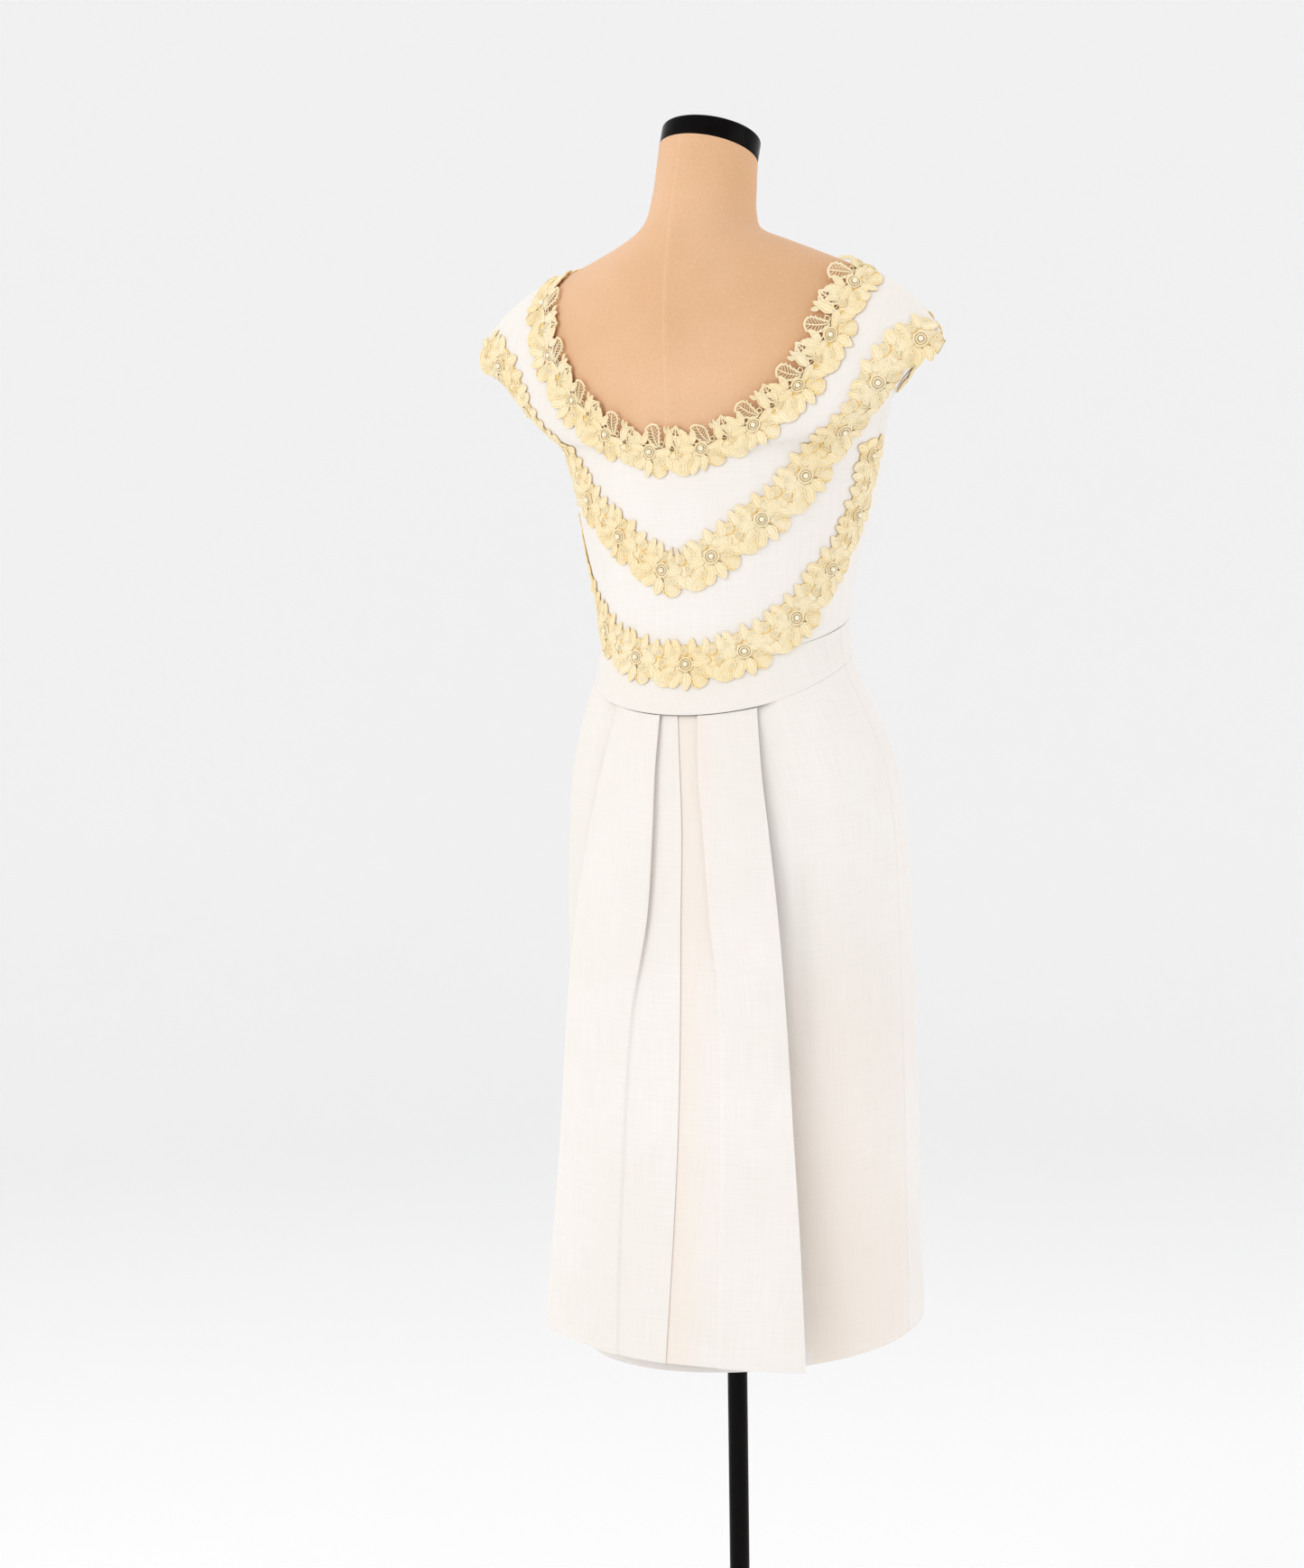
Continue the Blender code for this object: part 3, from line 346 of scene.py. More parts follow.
class Finish:
    """One material while it is being made; uniform holds the shader values that are the same all over."""

    def __init__(self, name, uniform):
        self.material = bpy.data.materials.new(name)
        self.material.use_nodes = True
        self.shader = self.material.node_tree.nodes["Principled BSDF"]
        for socket, value in uniform.items():
            self.shader.inputs[socket].default_value = value

    def node(self, kind, settings=None, values=None, output=0):
        """Add a shader node: settings first, then a value or a signal for each socket's name or number."""
        made = self.material.node_tree.nodes.new("ShaderNode" + kind)
        for setting, value in (settings or {}).items():
            setattr(made, setting, value)
        for socket, value in (values or {}).items():
            if isinstance(value, Signal):
                self.material.node_tree.links.new(value.socket, made.inputs[socket])
            else:
                made.inputs[socket].default_value = value
        return Signal(self, made.outputs[output])

    def grain(self, uv_map="grain"):
        """The two numbers of a UV map: for grain, the distance across and up the cut piece in metres."""
        flat = self.node("UVMap", {"uv_map": uv_map})
        first = self.node("SeparateXYZ", None, {0: flat})
        return first, Signal(self, first.socket.node.outputs[1])

    def place(self):
        return self.node("TexCoord", None, None, "Object")

    def mark(self, name):
        return self.node("Attribute", {"attribute_name": name}, None, "Fac")

    def vector(self, x, y, z=0.0):
        return self.node("CombineXYZ", None, {0: x, 1: y, 2: z})

    def noise(self, place, scale, detail=2.0, roughness=0.5):
        return self.node("TexNoise", None,
                         {"Vector": place, "Scale": scale, "Detail": detail, "Roughness": roughness})

    def blend(self, part, first, second):
        """Colour between two colours."""
        return self.node("Mix", {"data_type": "RGBA"}, {0: part, 6: first, 7: second}, 2)

    def bump(self, height, distance, strength):
        values = {"Height": height, "Distance": distance, "Strength": strength}
        return self.node("Bump", None, values)

    def feed(self, **signals):
        """Link signals to the shader, each by its socket's name with _ for a blank."""
        for socket, signal in signals.items():
            wanted = self.shader.inputs[socket.replace("_", " ")]
            self.material.node_tree.links.new(signal.socket, wanted)
        return self.material


finishes = {}

# %% [markdown]
# ## Ivory linen
#
# The dress is cut from a crisp plain-weave cloth with uneven threads. One thread is half a millimetre
# wide, so the weave is a small checker of hills, and the thick places in single threads, the slubs, are a
# noise that is stretched along the thread. The colour drifts a little between cream and white, as an old
# washed cloth does.

# %% Linen finish
LINEN_THREAD = 0.55 * MM
LINEN_RELIEF = 0.12 * MM
# One cloth in two copies: the bodice's pair is a shade darker than the skirt's, which is painted shade
LINEN_COLOURS = {
    "skirt": ((0.878, 0.833, 0.790, 1.0), (0.902, 0.869, 0.843, 1.0)),
    "bodice": ((0.870, 0.828, 0.780, 1.0), (0.895, 0.861, 0.828, 1.0)),
}
SLUB_COLOUR = (0.960, 0.920, 0.875, 1.0)
DARK_THREAD_COLOUR = (0.80, 0.74, 0.66, 1.0)
# Painted warm shade: the colour of light warmed between two layers of cloth, beside an edge that hangs over
# them
PAINTED_WARM_SHADE_COLOUR = (0.905, 0.745, 0.600, 1.0)
PAINTED_WARM_SHADE_SHARE = 0.36


def woven(finish, u, v, thread):
    """Height of a plain weave, and the slubs of its two sets of threads."""
    hills = u.wave(2 * thread) * v.wave(2 * thread)
    weft = finish.noise(finish.vector(u * 26, v * (0.55 / thread)), 1.0)
    warp = finish.noise(finish.vector(u * (0.50 / thread), v * 20, 7.0), 1.0)
    return hills, weft, warp


def linen_finish(name, warm, cool):
    """Linen that drifts between two tones; the mark called warm tints it with painted warm shade by a
    hanging edge.
    """
    finish = Finish(name, {"Sheen Weight": 0.12, "Sheen Roughness": 0.45, "Specular IOR Level": 0.3})
    u, v = finish.grain()
    hills, weft, warp = woven(finish, u, v, LINEN_THREAD)
    slubs = weft.between(0.52, 0.78) * 0.6 + warp.between(0.55, 0.80) * 0.4
    wide = finish.noise(finish.place(), 5.0, 3.0).between(0.35, 0.65)
    cloth = finish.blend(wide, warm, cool)
    paler_threads = finish.blend(slubs * 0.35, cloth, SLUB_COLOUR)
    threads = finish.blend((weft - warp) * 0.9 + 0.10, paler_threads, DARK_THREAD_COLOUR)
    # painted warm shade beside an overhanging edge, where the mark called warm is high
    with_painted_shade = finish.blend(finish.mark("warm") * PAINTED_WARM_SHADE_SHARE, threads, PAINTED_WARM_SHADE_COLOUR)
    bump = finish.bump(hills * 0.5 + slubs * 1.4, LINEN_RELIEF, 0.55)
    return finish.feed(Base_Color=with_painted_shade, Roughness=0.86 - slubs * 0.12, Normal=bump)


for part, (warm, cool) in LINEN_COLOURS.items():
    finishes[part] = linen_finish(part + "_linen", warm, cool)
print("linen thread", LINEN_THREAD / MM, "mm")

# %% [markdown]
# ## The form's cover, its neck plate and the stand
#
# The form wears a tan jersey, whose fine knit runs in columns of small loops. The seam down its back is a
# pale line in the finish, as it hardly stands up on the real one. The neck plate is glossy black, the pole
# satin black, both with a little dust that takes the edge off the gloss.

# %% Jersey, gloss black and satin black
KNIT_COLUMN = 0.9 * MM
KNIT_COURSE = 0.7 * MM
KNIT_RELIEF = 0.12 * MM
TAN_COLOURS = ((0.733, 0.430, 0.232, 1.0), (0.818, 0.513, 0.310, 1.0))
PALE_YARN_COLOUR = (0.93, 0.70, 0.47, 1.0)
DARK_YARN_COLOUR = (0.56, 0.33, 0.17, 1.0)
SEAM_COLOUR = (0.92, 0.68, 0.45, 1.0)
SEAM_FULL = 0.4 * MM
SEAM_NONE = 1.6 * MM


def jersey_finish():
    finish = Finish("tan_jersey", {"Sheen Weight": 0.2, "Sheen Roughness": 0.5, "Specular IOR Level": 0.2})
    u, v = finish.grain()
    lean = abs(u.wave(2 * KNIT_COLUMN)) * KNIT_COURSE
    loops = (v + lean).wave(KNIT_COURSE) * 0.5 + u.wave(KNIT_COLUMN) * 0.5
    threads = finish.noise(finish.vector(u * 160, v * 620), 1.0)
    wide = finish.noise(finish.place(), 6.0, 3.0)
    grainy = finish.noise(finish.place(), 520.0, 3.0, 0.7)
    tan = finish.blend(wide.between(0.30, 0.72), *TAN_COLOURS)
    pale = finish.blend(grainy.between(0.54, 0.76) * 0.32, tan, PALE_YARN_COLOUR)
    shaded = (0.48 - grainy) * 1.1 + (threads - 0.5) * 0.35
    lined = finish.blend(shaded, pale, DARK_YARN_COLOUR)
    line = 1 - abs(finish.mark("seam")).between(SEAM_FULL, SEAM_NONE)
    sewn = finish.blend(line * 0.14, lined, SEAM_COLOUR)
    bump = finish.bump(loops * 0.5 + grainy * 0.9 + line * 0.8, KNIT_RELIEF, 0.5)
    return finish.feed(Base_Color=sewn, Roughness=0.82 + wide * 0.08, Normal=bump)


BLACK_COLOUR = (0.0026, 0.0020, 0.0018, 1.0)
DUST_COLOUR = (0.030, 0.027, 0.025, 1.0)
BLACK_RELIEF = 0.03 * MM


def black_finish(name, roughness, gloss, dust_share):
    """Black paint or plastic with cloudy gloss and a share of dust."""
    finish = Finish(name, {"Specular IOR Level": gloss})
    place = finish.place()
    dust = finish.noise(place, 900.0, 2.0, 0.7).between(0.62, 0.80) * dust_share
    cloudy = finish.noise(place, 22.0, 4.0, 0.6)
    colour = finish.blend(dust, BLACK_COLOUR, DUST_COLOUR)
    uneven = cloudy * 0.18 + (roughness - 0.09) + dust * 0.3
    skin = finish.bump(finish.noise(place, 340.0), BLACK_RELIEF, 0.5)
    return finish.feed(Base_Color=colour, Roughness=uneven, Normal=skin)


finishes["form_cloth"] = jersey_finish()
finishes["neck_plate"] = black_finish("gloss_black", 0.22, 0.05, 0.05)
finishes["stand_metal"] = black_finish("satin_black", 0.38, 0.07, 0.10)
print("finishes:", list(finishes))

# %% [markdown]
# ## The measured levels
#
# The form, the bodice, the skirt and the panels are given at a few levels in metres. The origin is on the
# floor under the pole. The dress's front faces -Y and its back +Y, and `turn` goes round the body: 0 at the
# centre back, 90 degrees at the wearer's left side and 180 at the front.

# %% Levels of the form
BodyRing = namedtuple("BodyRing", "name half side_y back_y front_y side_z back_z front_z droop")
BODY_RINGS = table(BodyRing, [
    ("neck_top", 0.0440, 0.027, 0.0710, -0.0170, 1.5255, 1.5417, 1.5093, 1.0),
    ("neck_middle", 0.0450, 0.031, 0.0760, -0.0135, 1.503, 1.519, 1.487, 1.0),
    ("neck_low", 0.0465, 0.035, 0.0835, -0.0115, 1.480, 1.495, 1.463, 1.2),
    ("neck_base", 0.0540, 0.035, 0.0915, -0.0160, 1.460, 1.469, 1.436, 1.6),
    ("yoke", 0.0820, 0.031, 0.0970, -0.0440, 1.4475, 1.441, 1.400, 2.0),
    ("shoulder_inner", 0.1120, 0.028, 0.1020, -0.0680, 1.4360, 1.411, 1.367, 2.0),
    ("shoulder_middle", 0.1430, 0.027, 0.1045, -0.0860, 1.4230, 1.377, 1.336, 2.0),
    ("shoulder_outer", 0.1660, 0.027, 0.1045, -0.0980, 1.4050, 1.345, 1.307, 2.0),
    ("shoulder_tip", 0.1740, 0.026, 0.1035, -0.1060, 1.384, 1.319, 1.282, 2.0),
    ("arm_upper", 0.1670, 0.020, 0.1025, -0.1120, 1.346, 1.295, 1.260, 2.0),
    ("arm_lower", 0.1560, 0.013, 0.1015, -0.1140, 1.305, 1.271, 1.238, 2.0),
    ("underarm", 0.1500, 0.007, 0.1000, -0.1130, 1.272, 1.247, 1.218, 2.0),
    ("chest", 0.1420, 0.005, 0.0980, -0.1080, 1.236, 1.220, 1.195, 2.0),
    ("ribs", 0.1305, 0.004, 0.0950, -0.0990, 1.190, 1.185, 1.165, 2.0),
    ("under_ribs", 0.1160, 0.003, 0.0930, -0.0920, 1.148, 1.148, 1.133, 2.0),
    ("waist", 0.1080, 0.003, 0.0895, -0.0895, 1.106, 1.110, 1.099, 2.0),
    ("below_waist", 0.1140, 0.002, 0.0870, -0.0900, 1.066, 1.070, 1.061, 2.0),
    ("belly", 0.1220, 0.001, 0.0880, -0.0970, 1.034, 1.036, 1.029, 2.0),
    ("upper_hip", 0.1400, -0.001, 0.0945, -0.1080, 0.990, 0.992, 0.985, 2.0),
    ("hip", 0.1535, -0.002, 0.1030, -0.1170, 0.930, 0.933, 0.926, 2.0),
    ("lower_hip", 0.1560, -0.003, 0.1055, -0.1200, 0.870, 0.872, 0.867, 2.0),
    ("cut_edge", 0.1540, -0.003, 0.1035, -0.1190, 0.815, 0.815, 0.815, 2.0),
])
print("levels of the form:", len(BODY_RINGS))

# %% Points of the form
BUST_APART = 0.076
BUST_HEIGHT = 1.205
BUST_SPREAD = 0.044
BUST_DEPTH = 0.017
BODY_COLUMNS = 144
BODY_ROWS = 170


def bust_rise(x, z):
    """How far the front stands forward for the two soft domes of the bust."""
    rise = np.zeros_like(x * z)
    for centre in (-BUST_APART, BUST_APART):
        rise = rise + BUST_DEPTH * np.exp(-((x - centre) ** 2 + (z - BUST_HEIGHT) ** 2) / BUST_SPREAD ** 2)
    return rise


def body_points(place, turn):
    """Points of the form at places down its rings (0 at the neck) and turns, as arrays of one shape."""
    ring = at_levels(BODY_RINGS, place)

    def around(what, back, front):
        side = ring["side_" + what]
        return side + (ring["back_" + what] - side) * back + (ring["front_" + what] - side) * front

    back, front = np.maximum(np.cos(turn), 0.0), np.maximum(-np.cos(turn), 0.0)
    x = ring["half"] * np.sin(turn)
    y = around("y", back, front)
    z = around("z", back ** ring["droop"], front ** ring["droop"])
    return np.stack([x, y - bust_rise(x, z) * front, z], axis=-1)


body_turns = np.linspace(0, 2 * math.pi, BODY_COLUMNS, endpoint=False)
body_places = np.linspace(len(BODY_RINGS) - 1, 0, BODY_ROWS)
body_grid = body_points(body_places[:, None], body_turns[None, :])
body_tree = tree_of(body_grid, closed=True)
print("form:", body_grid.shape, "hip width", round(float(np.ptp(body_grid[..., 0])), 3))

# %% [markdown]
# ## The bodice's shape
#
# Front and back are each one piece of cloth, cut in one with the cap sleeves. Seen from the back, a row of
# the grid runs from the centre, or from the neckline higher up, out to the side seam, or to the edge of
# the sleeve. Each row is an arc round the body. Wherever it would pass through the form, it is pushed out,
# so the cloth lies on the form as on a body and stands free where it doesn't touch.

# %% Levels of the bodice
CLOTH = 0.0012
BODY_CLEARANCE = 0.0009
SEAM_GAP = 0.0004
SEWN_GAP = 0.00005
SHOULDER_LINE_Y = 0.030
WAIST_TOP = 1.1037
WAIST_TOP_TILT = 0.0254
WAIST_SEAM_SIDE = WAIST_TOP + SEWN_GAP
WAIST_SHIFT = 0.004
SHIFT_FULL_Z = 1.135
SHIFT_NONE_Z = 1.270
BodiceRow = namedtuple("BodiceRow", "name inner_x inner_z side_x side_y side_z bow")
BODICE_BACK = table(BodiceRow, [
    ("waist_seam", 0.000, WAIST_SEAM_SIDE - WAIST_TOP_TILT, 0.1180, 0.003, WAIST_SEAM_SIDE, 1.00),
    ("lower_back", 0.000, 1.1250, 0.1220, 0.003, 1.1370, 1.00),
    ("middle_back", 0.000, 1.1760, 0.1345, 0.004, 1.1860, 1.00),
    ("shoulder_blades", 0.000, 1.2230, 0.1465, 0.006, 1.2350, 1.00),
    ("underarm", 0.000, 1.2580, 0.1560, 0.011, 1.2740, 0.98),
    ("neck_curve_low", 0.046, 1.2675, 0.1705, 0.024, 1.2930, 0.93),
    ("neck_curve", 0.086, 1.2900, 0.1905, 0.040, 1.3130, 0.84),
    ("neck_curve_high", 0.120, 1.3225, 0.2060, 0.048, 1.3275, 0.74),
    ("yoke", 0.141, 1.3560, 0.2200, 0.050, 1.3375, 0.63),
    ("upper_yoke", 0.152, 1.3890, 0.2295, 0.0455, 1.3478, 0.50),
    ("shoulder_seam", 0.157, 1.4225, 0.2345, 0.038, 1.3630, 0.38),
])
BODICE_FRONT = table(BodiceRow, [
    ("waist_seam", 0.000, WAIST_SEAM_SIDE + WAIST_TOP_TILT, 0.1180, 0.003, WAIST_SEAM_SIDE, 1.00),
    ("under_bust", 0.000, 1.1550, 0.1220, 0.003, 1.1370, 1.00),
    ("bust", 0.000, 1.1920, 0.1345, 0.004, 1.1860, 1.00),
    ("upper_bust", 0.000, 1.2340, 0.1465, 0.006, 1.2350, 1.00),
    ("underarm", 0.000, 1.2790, 0.1560, 0.011, 1.2740, 0.98),
    ("neck_curve_low", 0.000, 1.3180, 0.1590, 0.003, 1.2960, 0.95),
    ("neck_curve", 0.052, 1.3260, 0.1735, -0.009, 1.3220, 0.86),
    ("neck_curve_high", 0.094, 1.3430, 0.1900, -0.009, 1.3400, 0.74),
    ("yoke", 0.125, 1.3660, 0.2055, 0.001, 1.3495, 0.62),
    ("upper_yoke", 0.146, 1.3930, 0.2210, 0.018, 1.3565, 0.50),
    ("shoulder_seam", 0.157, 1.4225, 0.2345, 0.038, 1.3630, 0.38),
])
print("rows of the bodice:", len(BODICE_BACK), len(BODICE_FRONT))


# %% Half of a bodice panel
def depth_on_form(x, z, facing):
    """Depth of cloth on the form at a place seen straight from the back (+1) or the front (-1)."""
    surface, normal, _, _ = body_tree.ray_cast(Vector((x, facing * 0.5, z)), Vector((0.0, -facing, 0.0)))
    if surface is None:
        return SHOULDER_LINE_Y
    depth = surface.y + normal.y * (CLOTH + BODY_CLEARANCE)
    return facing * max(facing * depth, facing * SHOULDER_LINE_Y)


def bodice_half(rows, facing, outward, up):
    """Left half of a bodice panel: rows by columns of points, outward 0 to 1 and up 0 to 1."""
    row = at_levels(rows, up * (len(rows) - 1))
    inner_x = np.maximum(row["inner_x"], 0.0)
    inner_y = np.array([depth_on_form(x, z, facing) for x, z in zip(inner_x, row["inner_z"])])
    straight, bow = outward[None, :], row["bow"][:, None]
    arc_x, arc_part = np.sin(straight * math.pi / 2), np.cos(straight * math.pi / 2)

    def between(inner, side, round_part):
        inner, side = inner[:, None], side[:, None]
        return mix(mix(inner, side, straight), mix(inner, side, round_part), bow)

    x = between(inner_x, row["side_x"], arc_x)
    y = between(inner_y, row["side_y"], 1 - arc_part)
    z = between(row["inner_z"], row["side_z"], 1 - arc_part)
    if facing < 0:
        y = y - bust_rise(x, z) * arc_part
    return np.stack(np.broadcast_arrays(x, y, z), axis=-1)


# %% [markdown]
# ## Darts and pulls
#
# Darts show as fine lines on a fitted bodice, and the cloth pulls a little towards the armholes and the
# sides. Each has two ends, a height along the cloth's own normals, out (+) or in (-), and a width.

# %% Creases of the bodice
Crease = namedtuple("Crease", "name start_x start_z end_x end_z depth width")
BACK_CREASES = table(Crease, [
    ("left_dart", 0.0660, 1.0900, 0.0720, 1.3050, -0.0007, 0.0032),
    ("right_dart", -0.0780, 1.0900, -0.0830, 1.3050, -0.0007, 0.0032),
    ("left_dart_ease", 0.0600, 1.1300, 0.0640, 1.2500, 0.0009, 0.0070),
    ("right_dart_ease", -0.0705, 1.1250, -0.0730, 1.2600, 0.0010, 0.0075),
    ("right_side_pull", -0.1290, 1.2180, -0.1120, 1.1450, 0.0016, 0.0060),
    ("right_side_dip", -0.1190, 1.2120, -0.1020, 1.1520, -0.0008, 0.0055),
    ("left_side_pull", 0.1240, 1.2080, 0.1060, 1.1500, 0.0013, 0.0065),
    ("waist_ease", 0.0330, 1.1520, -0.0280, 1.1440, 0.0008, 0.0060),
    ("left_armhole_pull", 0.1520, 1.2920, 0.1180, 1.2500, 0.0010, 0.0090),
    ("right_armhole_pull", -0.1560, 1.2900, -0.1240, 1.2440, 0.0010, 0.0095),
])
FRONT_CREASES = table(Crease, [
    ("left_bust_dart", 0.1220, 1.1780, 0.0840, 1.2010, -0.0007, 0.0034),
    ("right_bust_dart", -0.1210, 1.1760, -0.0830, 1.2000, -0.0007, 0.0034),
    ("left_waist_dart", 0.0640, 1.1350, 0.0740, 1.1880, -0.0007, 0.0034),
    ("right_waist_dart", -0.0640, 1.1350, -0.0740, 1.1880, -0.0007, 0.0034),
    ("left_pull", 0.1380, 1.2350, 0.0960, 1.2160, 0.0012, 0.0070),
    ("right_pull", -0.1360, 1.2380, -0.1000, 1.2150, 0.0011, 0.0070),
    ("hollow_ease", 0.0240, 1.2480, -0.0260, 1.2430, 0.0010, 0.0090),
])


def creased(grid, creases, facing):
    """The grid with soft ridges and troughs along straight lines seen from the front or the back."""
    grid = grid.copy()
    away = unit(grid_normals(grid))
    for crease in creases:
        start = np.array([crease.start_x, crease.start_z])
        line = np.array([crease.end_x, crease.end_z]) - start
        reach = grid[..., [0, 2]] - start
        part = np.clip(reach @ line / (line @ line), 0.0, 1.0)
        aside = np.linalg.norm(reach - part[..., None] * line, axis=-1)
        fading = np.sin(math.pi * np.clip(part, 0.02, 0.98)) ** 0.6
        height = crease.depth * fading * np.exp(-(aside / crease.width) ** 2)
        grid = grid + away * (height * (facing * grid[..., 1] > 0))[..., None]
    return grid


print("creases:", len(BACK_CREASES), len(FRONT_CREASES))

# %% Both halves of each panel
BODICE_COLUMNS = 64
BODICE_LEVELS = 90
CLEARING_ROUNDS = 3
CLEARING_SOFTENING = 4


def bodice_halves(rows, facing, creases):
    """Left and right half of a bodice panel, lying clear of the form."""
    half = bodice_half(rows, facing, np.linspace(0, 1, BODICE_COLUMNS), np.linspace(0, 1, BODICE_LEVELS))
    for _ in range(CLEARING_ROUNDS):
        half = softened(pushed_off(half, body_tree, CLOTH + BODY_CLEARANCE), CLEARING_SOFTENING)
    half = pushed_off(half, body_tree, CLOTH + BODY_CLEARANCE)
    half[-1, :, 1] += facing * SEAM_GAP / 2
    halves = [half, half * (-1, 1, 1)]
    for grid in halves:
        grid[..., 0] += WAIST_SHIFT * (1 - step(SHIFT_FULL_Z, SHIFT_NONE_Z, grid[..., 2]))
    return [creased(grid, creases, facing) for grid in halves]


back_halves = bodice_halves(BODICE_BACK, 1.0, BACK_CREASES)
front_halves = bodice_halves(BODICE_FRONT, -1.0, FRONT_CREASES)
print("top of the bodice:", [halves[0][..., 2].max().round(4) for halves in (back_halves, front_halves)])

# %% [markdown]
# ## Waistband, skirt and hanging panels
#
# The waistband and the narrow skirt are rings round the body: an angle and a height give a point. The
# skirt lies a little deeper at the centre back, where the two free panels hang over it. A free panel isn't
# a ring: it hangs from the waistband by its top, so its shape is a depth behind the pole for each x and
# height.

# %% Levels of waistband, skirt and panels
BAND_CLOTH = 0.0026
WAIST_BOTTOM = 1.071
WAIST_BOTTOM_TILT = 0.030
WAIST_BOTTOM_DIP = 0.012
WAIST_BOTTOM_BACK = WAIST_BOTTOM - WAIST_BOTTOM_TILT - WAIST_BOTTOM_DIP
HEM = 0.460
HEM_TILT = 0.020
HEM_LEAN = 0.011
SkirtRing = namedtuple("SkirtRing", "name z half back_y front_y shift")
SKIRT_RINGS = table(SkirtRing, [
    ("hem", 0.430, 0.1620, 0.108, -0.1500, -0.0155),
    ("calf", 0.553, 0.1640, 0.109, -0.1450, -0.0120),
    ("knee", 0.668, 0.1655, 0.110, -0.1390, -0.0090),
    ("thigh", 0.760, 0.1665, 0.110, -0.1320, -0.0065),
    ("low_hip", 0.851, 0.1660, 0.109, -0.1260, -0.0045),
    ("hip", 0.930, 0.1625, 0.107, -0.1230, -0.0035),
    ("high_hip", 0.980, 0.1560, 0.104, -0.1180, -0.002),
    ("under_band", 1.030, 0.1390, 0.0990, -0.1080, 0.001),
    ("band", 1.062, 0.1245, 0.0965, -0.0990, 0.003),
    ("band_top", 1.104, 0.1180, 0.0925, -0.0935, 0.004),
    ("above_band", 1.140, 0.1230, 0.0980, -0.0980, 0.004),
])
TUCK_DEPTH = 0.0062
TUCK_TURN = math.radians(39)
TUCK_SOFTNESS = math.radians(7)
TUCK_FADE_Z = 0.900
# Soft upright folds of the skirt: turns in degrees at the top and the bottom, the heights between which
# they show, how far they sink in (+) or stand out (-), and their width in degrees
Fold = namedtuple("Fold", "name turn_top turn_low z_top z_low depth width")
SKIRT_FOLDS = table(Fold, [
    ("beside_panel", -41, -42, 1.03, 0.72, 0.0016, 3.2),
    ("right_back", -55, -58, 1.04, 0.62, -0.0014, 4.5),
    ("right_side", -74, -78, 1.03, 0.50, 0.0013, 6.0),
    ("right_front", -108, -104, 1.05, 0.70, -0.0012, 6.0),
    ("front_right", -146, -150, 1.06, 0.78, 0.0012, 6.5),
    ("front_left", 149, 152, 1.06, 0.74, 0.0011, 6.0),
    ("left_front", 112, 108, 1.05, 0.66, -0.0012, 6.5),
    ("left_side", 78, 84, 1.03, 0.55, 0.0013, 6.0),
    ("left_back", 58, 61, 1.03, 0.70, -0.0012, 4.5),
])
PanelLevel = namedtuple("PanelLevel", "name z centre_y edge_x edge_y fold_left fold_right lap_x lift")
PANEL_LEVELS = table(PanelLevel, [
    ("hem", 0.440, 0.1330, 0.1350, 0.1180, 0.050, -0.054, 0.000, 0.0010),
    ("above_hem", 0.484, 0.1300, 0.1330, 0.1170, 0.050, -0.054, -0.002, 0.0010),
    ("calf", 0.576, 0.1255, 0.1260, 0.1110, 0.048, -0.054, -0.007, 0.0012),
    ("knee", 0.668, 0.1215, 0.1190, 0.1080, 0.044, -0.054, -0.0105, 0.0015),
    ("thigh", 0.760, 0.1175, 0.1130, 0.1060, 0.037, -0.052, -0.0115, 0.0022),
    ("low_hip", 0.851, 0.1150, 0.1040, 0.1020, 0.022, -0.044, -0.012, 0.0040),
    ("hip", 0.930, 0.1115, 0.0915, 0.0950, 0.017, -0.037, -0.012, 0.0050),
    ("high_hip", 0.980, 0.1065, 0.0820, 0.0890, 0.017, -0.030, -0.008, 0.0045),
    ("waist_seam", 1.030, 0.0945, 0.0725, 0.0790, 0.019, -0.023, 0.000, 0.0026),
])
PANEL_CLOTH = 0.0008
PANEL_HEM_LAP = 0.4520
PANEL_HEM_EDGE = 0.4707
PANEL_HEM_FAR_EDGE = 0.4535
PANEL_TOP_RADIUS = 0.137
RIGHT_PANEL_EASE = 0.6
UNDERLAP = 0.016
print("levels of the skirt:", len(SKIRT_RINGS), "of the panels:", len(PANEL_LEVELS))


# %% Waistband and skirt
def skirt_points(turn, z, tucked):
    """Outside of the narrow skirt or the waistband; a tucked one sinks under the panels and has folds."""
    level = {name: from_table(SKIRT_RINGS, "z", name, z) for name in SkirtRing._fields[2:]}
    cosine = np.cos(turn)
    y = np.where(cosine > 0, level["back_y"], -level["front_y"]) * cosine
    points = np.stack([level["half"] * np.sin(turn) + level["shift"], y, z], axis=-1)
    inward = np.stack([-np.sin(turn), -cosine, np.zeros_like(z)], axis=-1)
    if tucked:
        turned = np.abs((turn + math.pi) % (2 * math.pi) - math.pi)
        under = 1 - step(TUCK_TURN - TUCK_SOFTNESS, TUCK_TURN + TUCK_SOFTNESS, turned)
        depth = TUCK_DEPTH * under * step(TUCK_FADE_Z, WAIST_BOTTOM_BACK, z)
        for fold in SKIRT_FOLDS:
            down = np.clip((fold.z_top - z) / (fold.z_top - fold.z_low), 0, 1)
            middle = np.radians(mix(fold.turn_top, fold.turn_low, down))
            away = (turn - middle + math.pi) % (2 * math.pi) - math.pi
            fading = np.sin(math.pi * down) ** 0.7
            depth = depth + fold.depth * fading * np.exp(-(away / math.radians(fold.width)) ** 2)
        points = points + inward * depth[..., None]
    return points


def waist_bottom(turn):
    back = np.cos(turn)
    return WAIST_BOTTOM - WAIST_BOTTOM_TILT * back - WAIST_BOTTOM_DIP * back ** 2


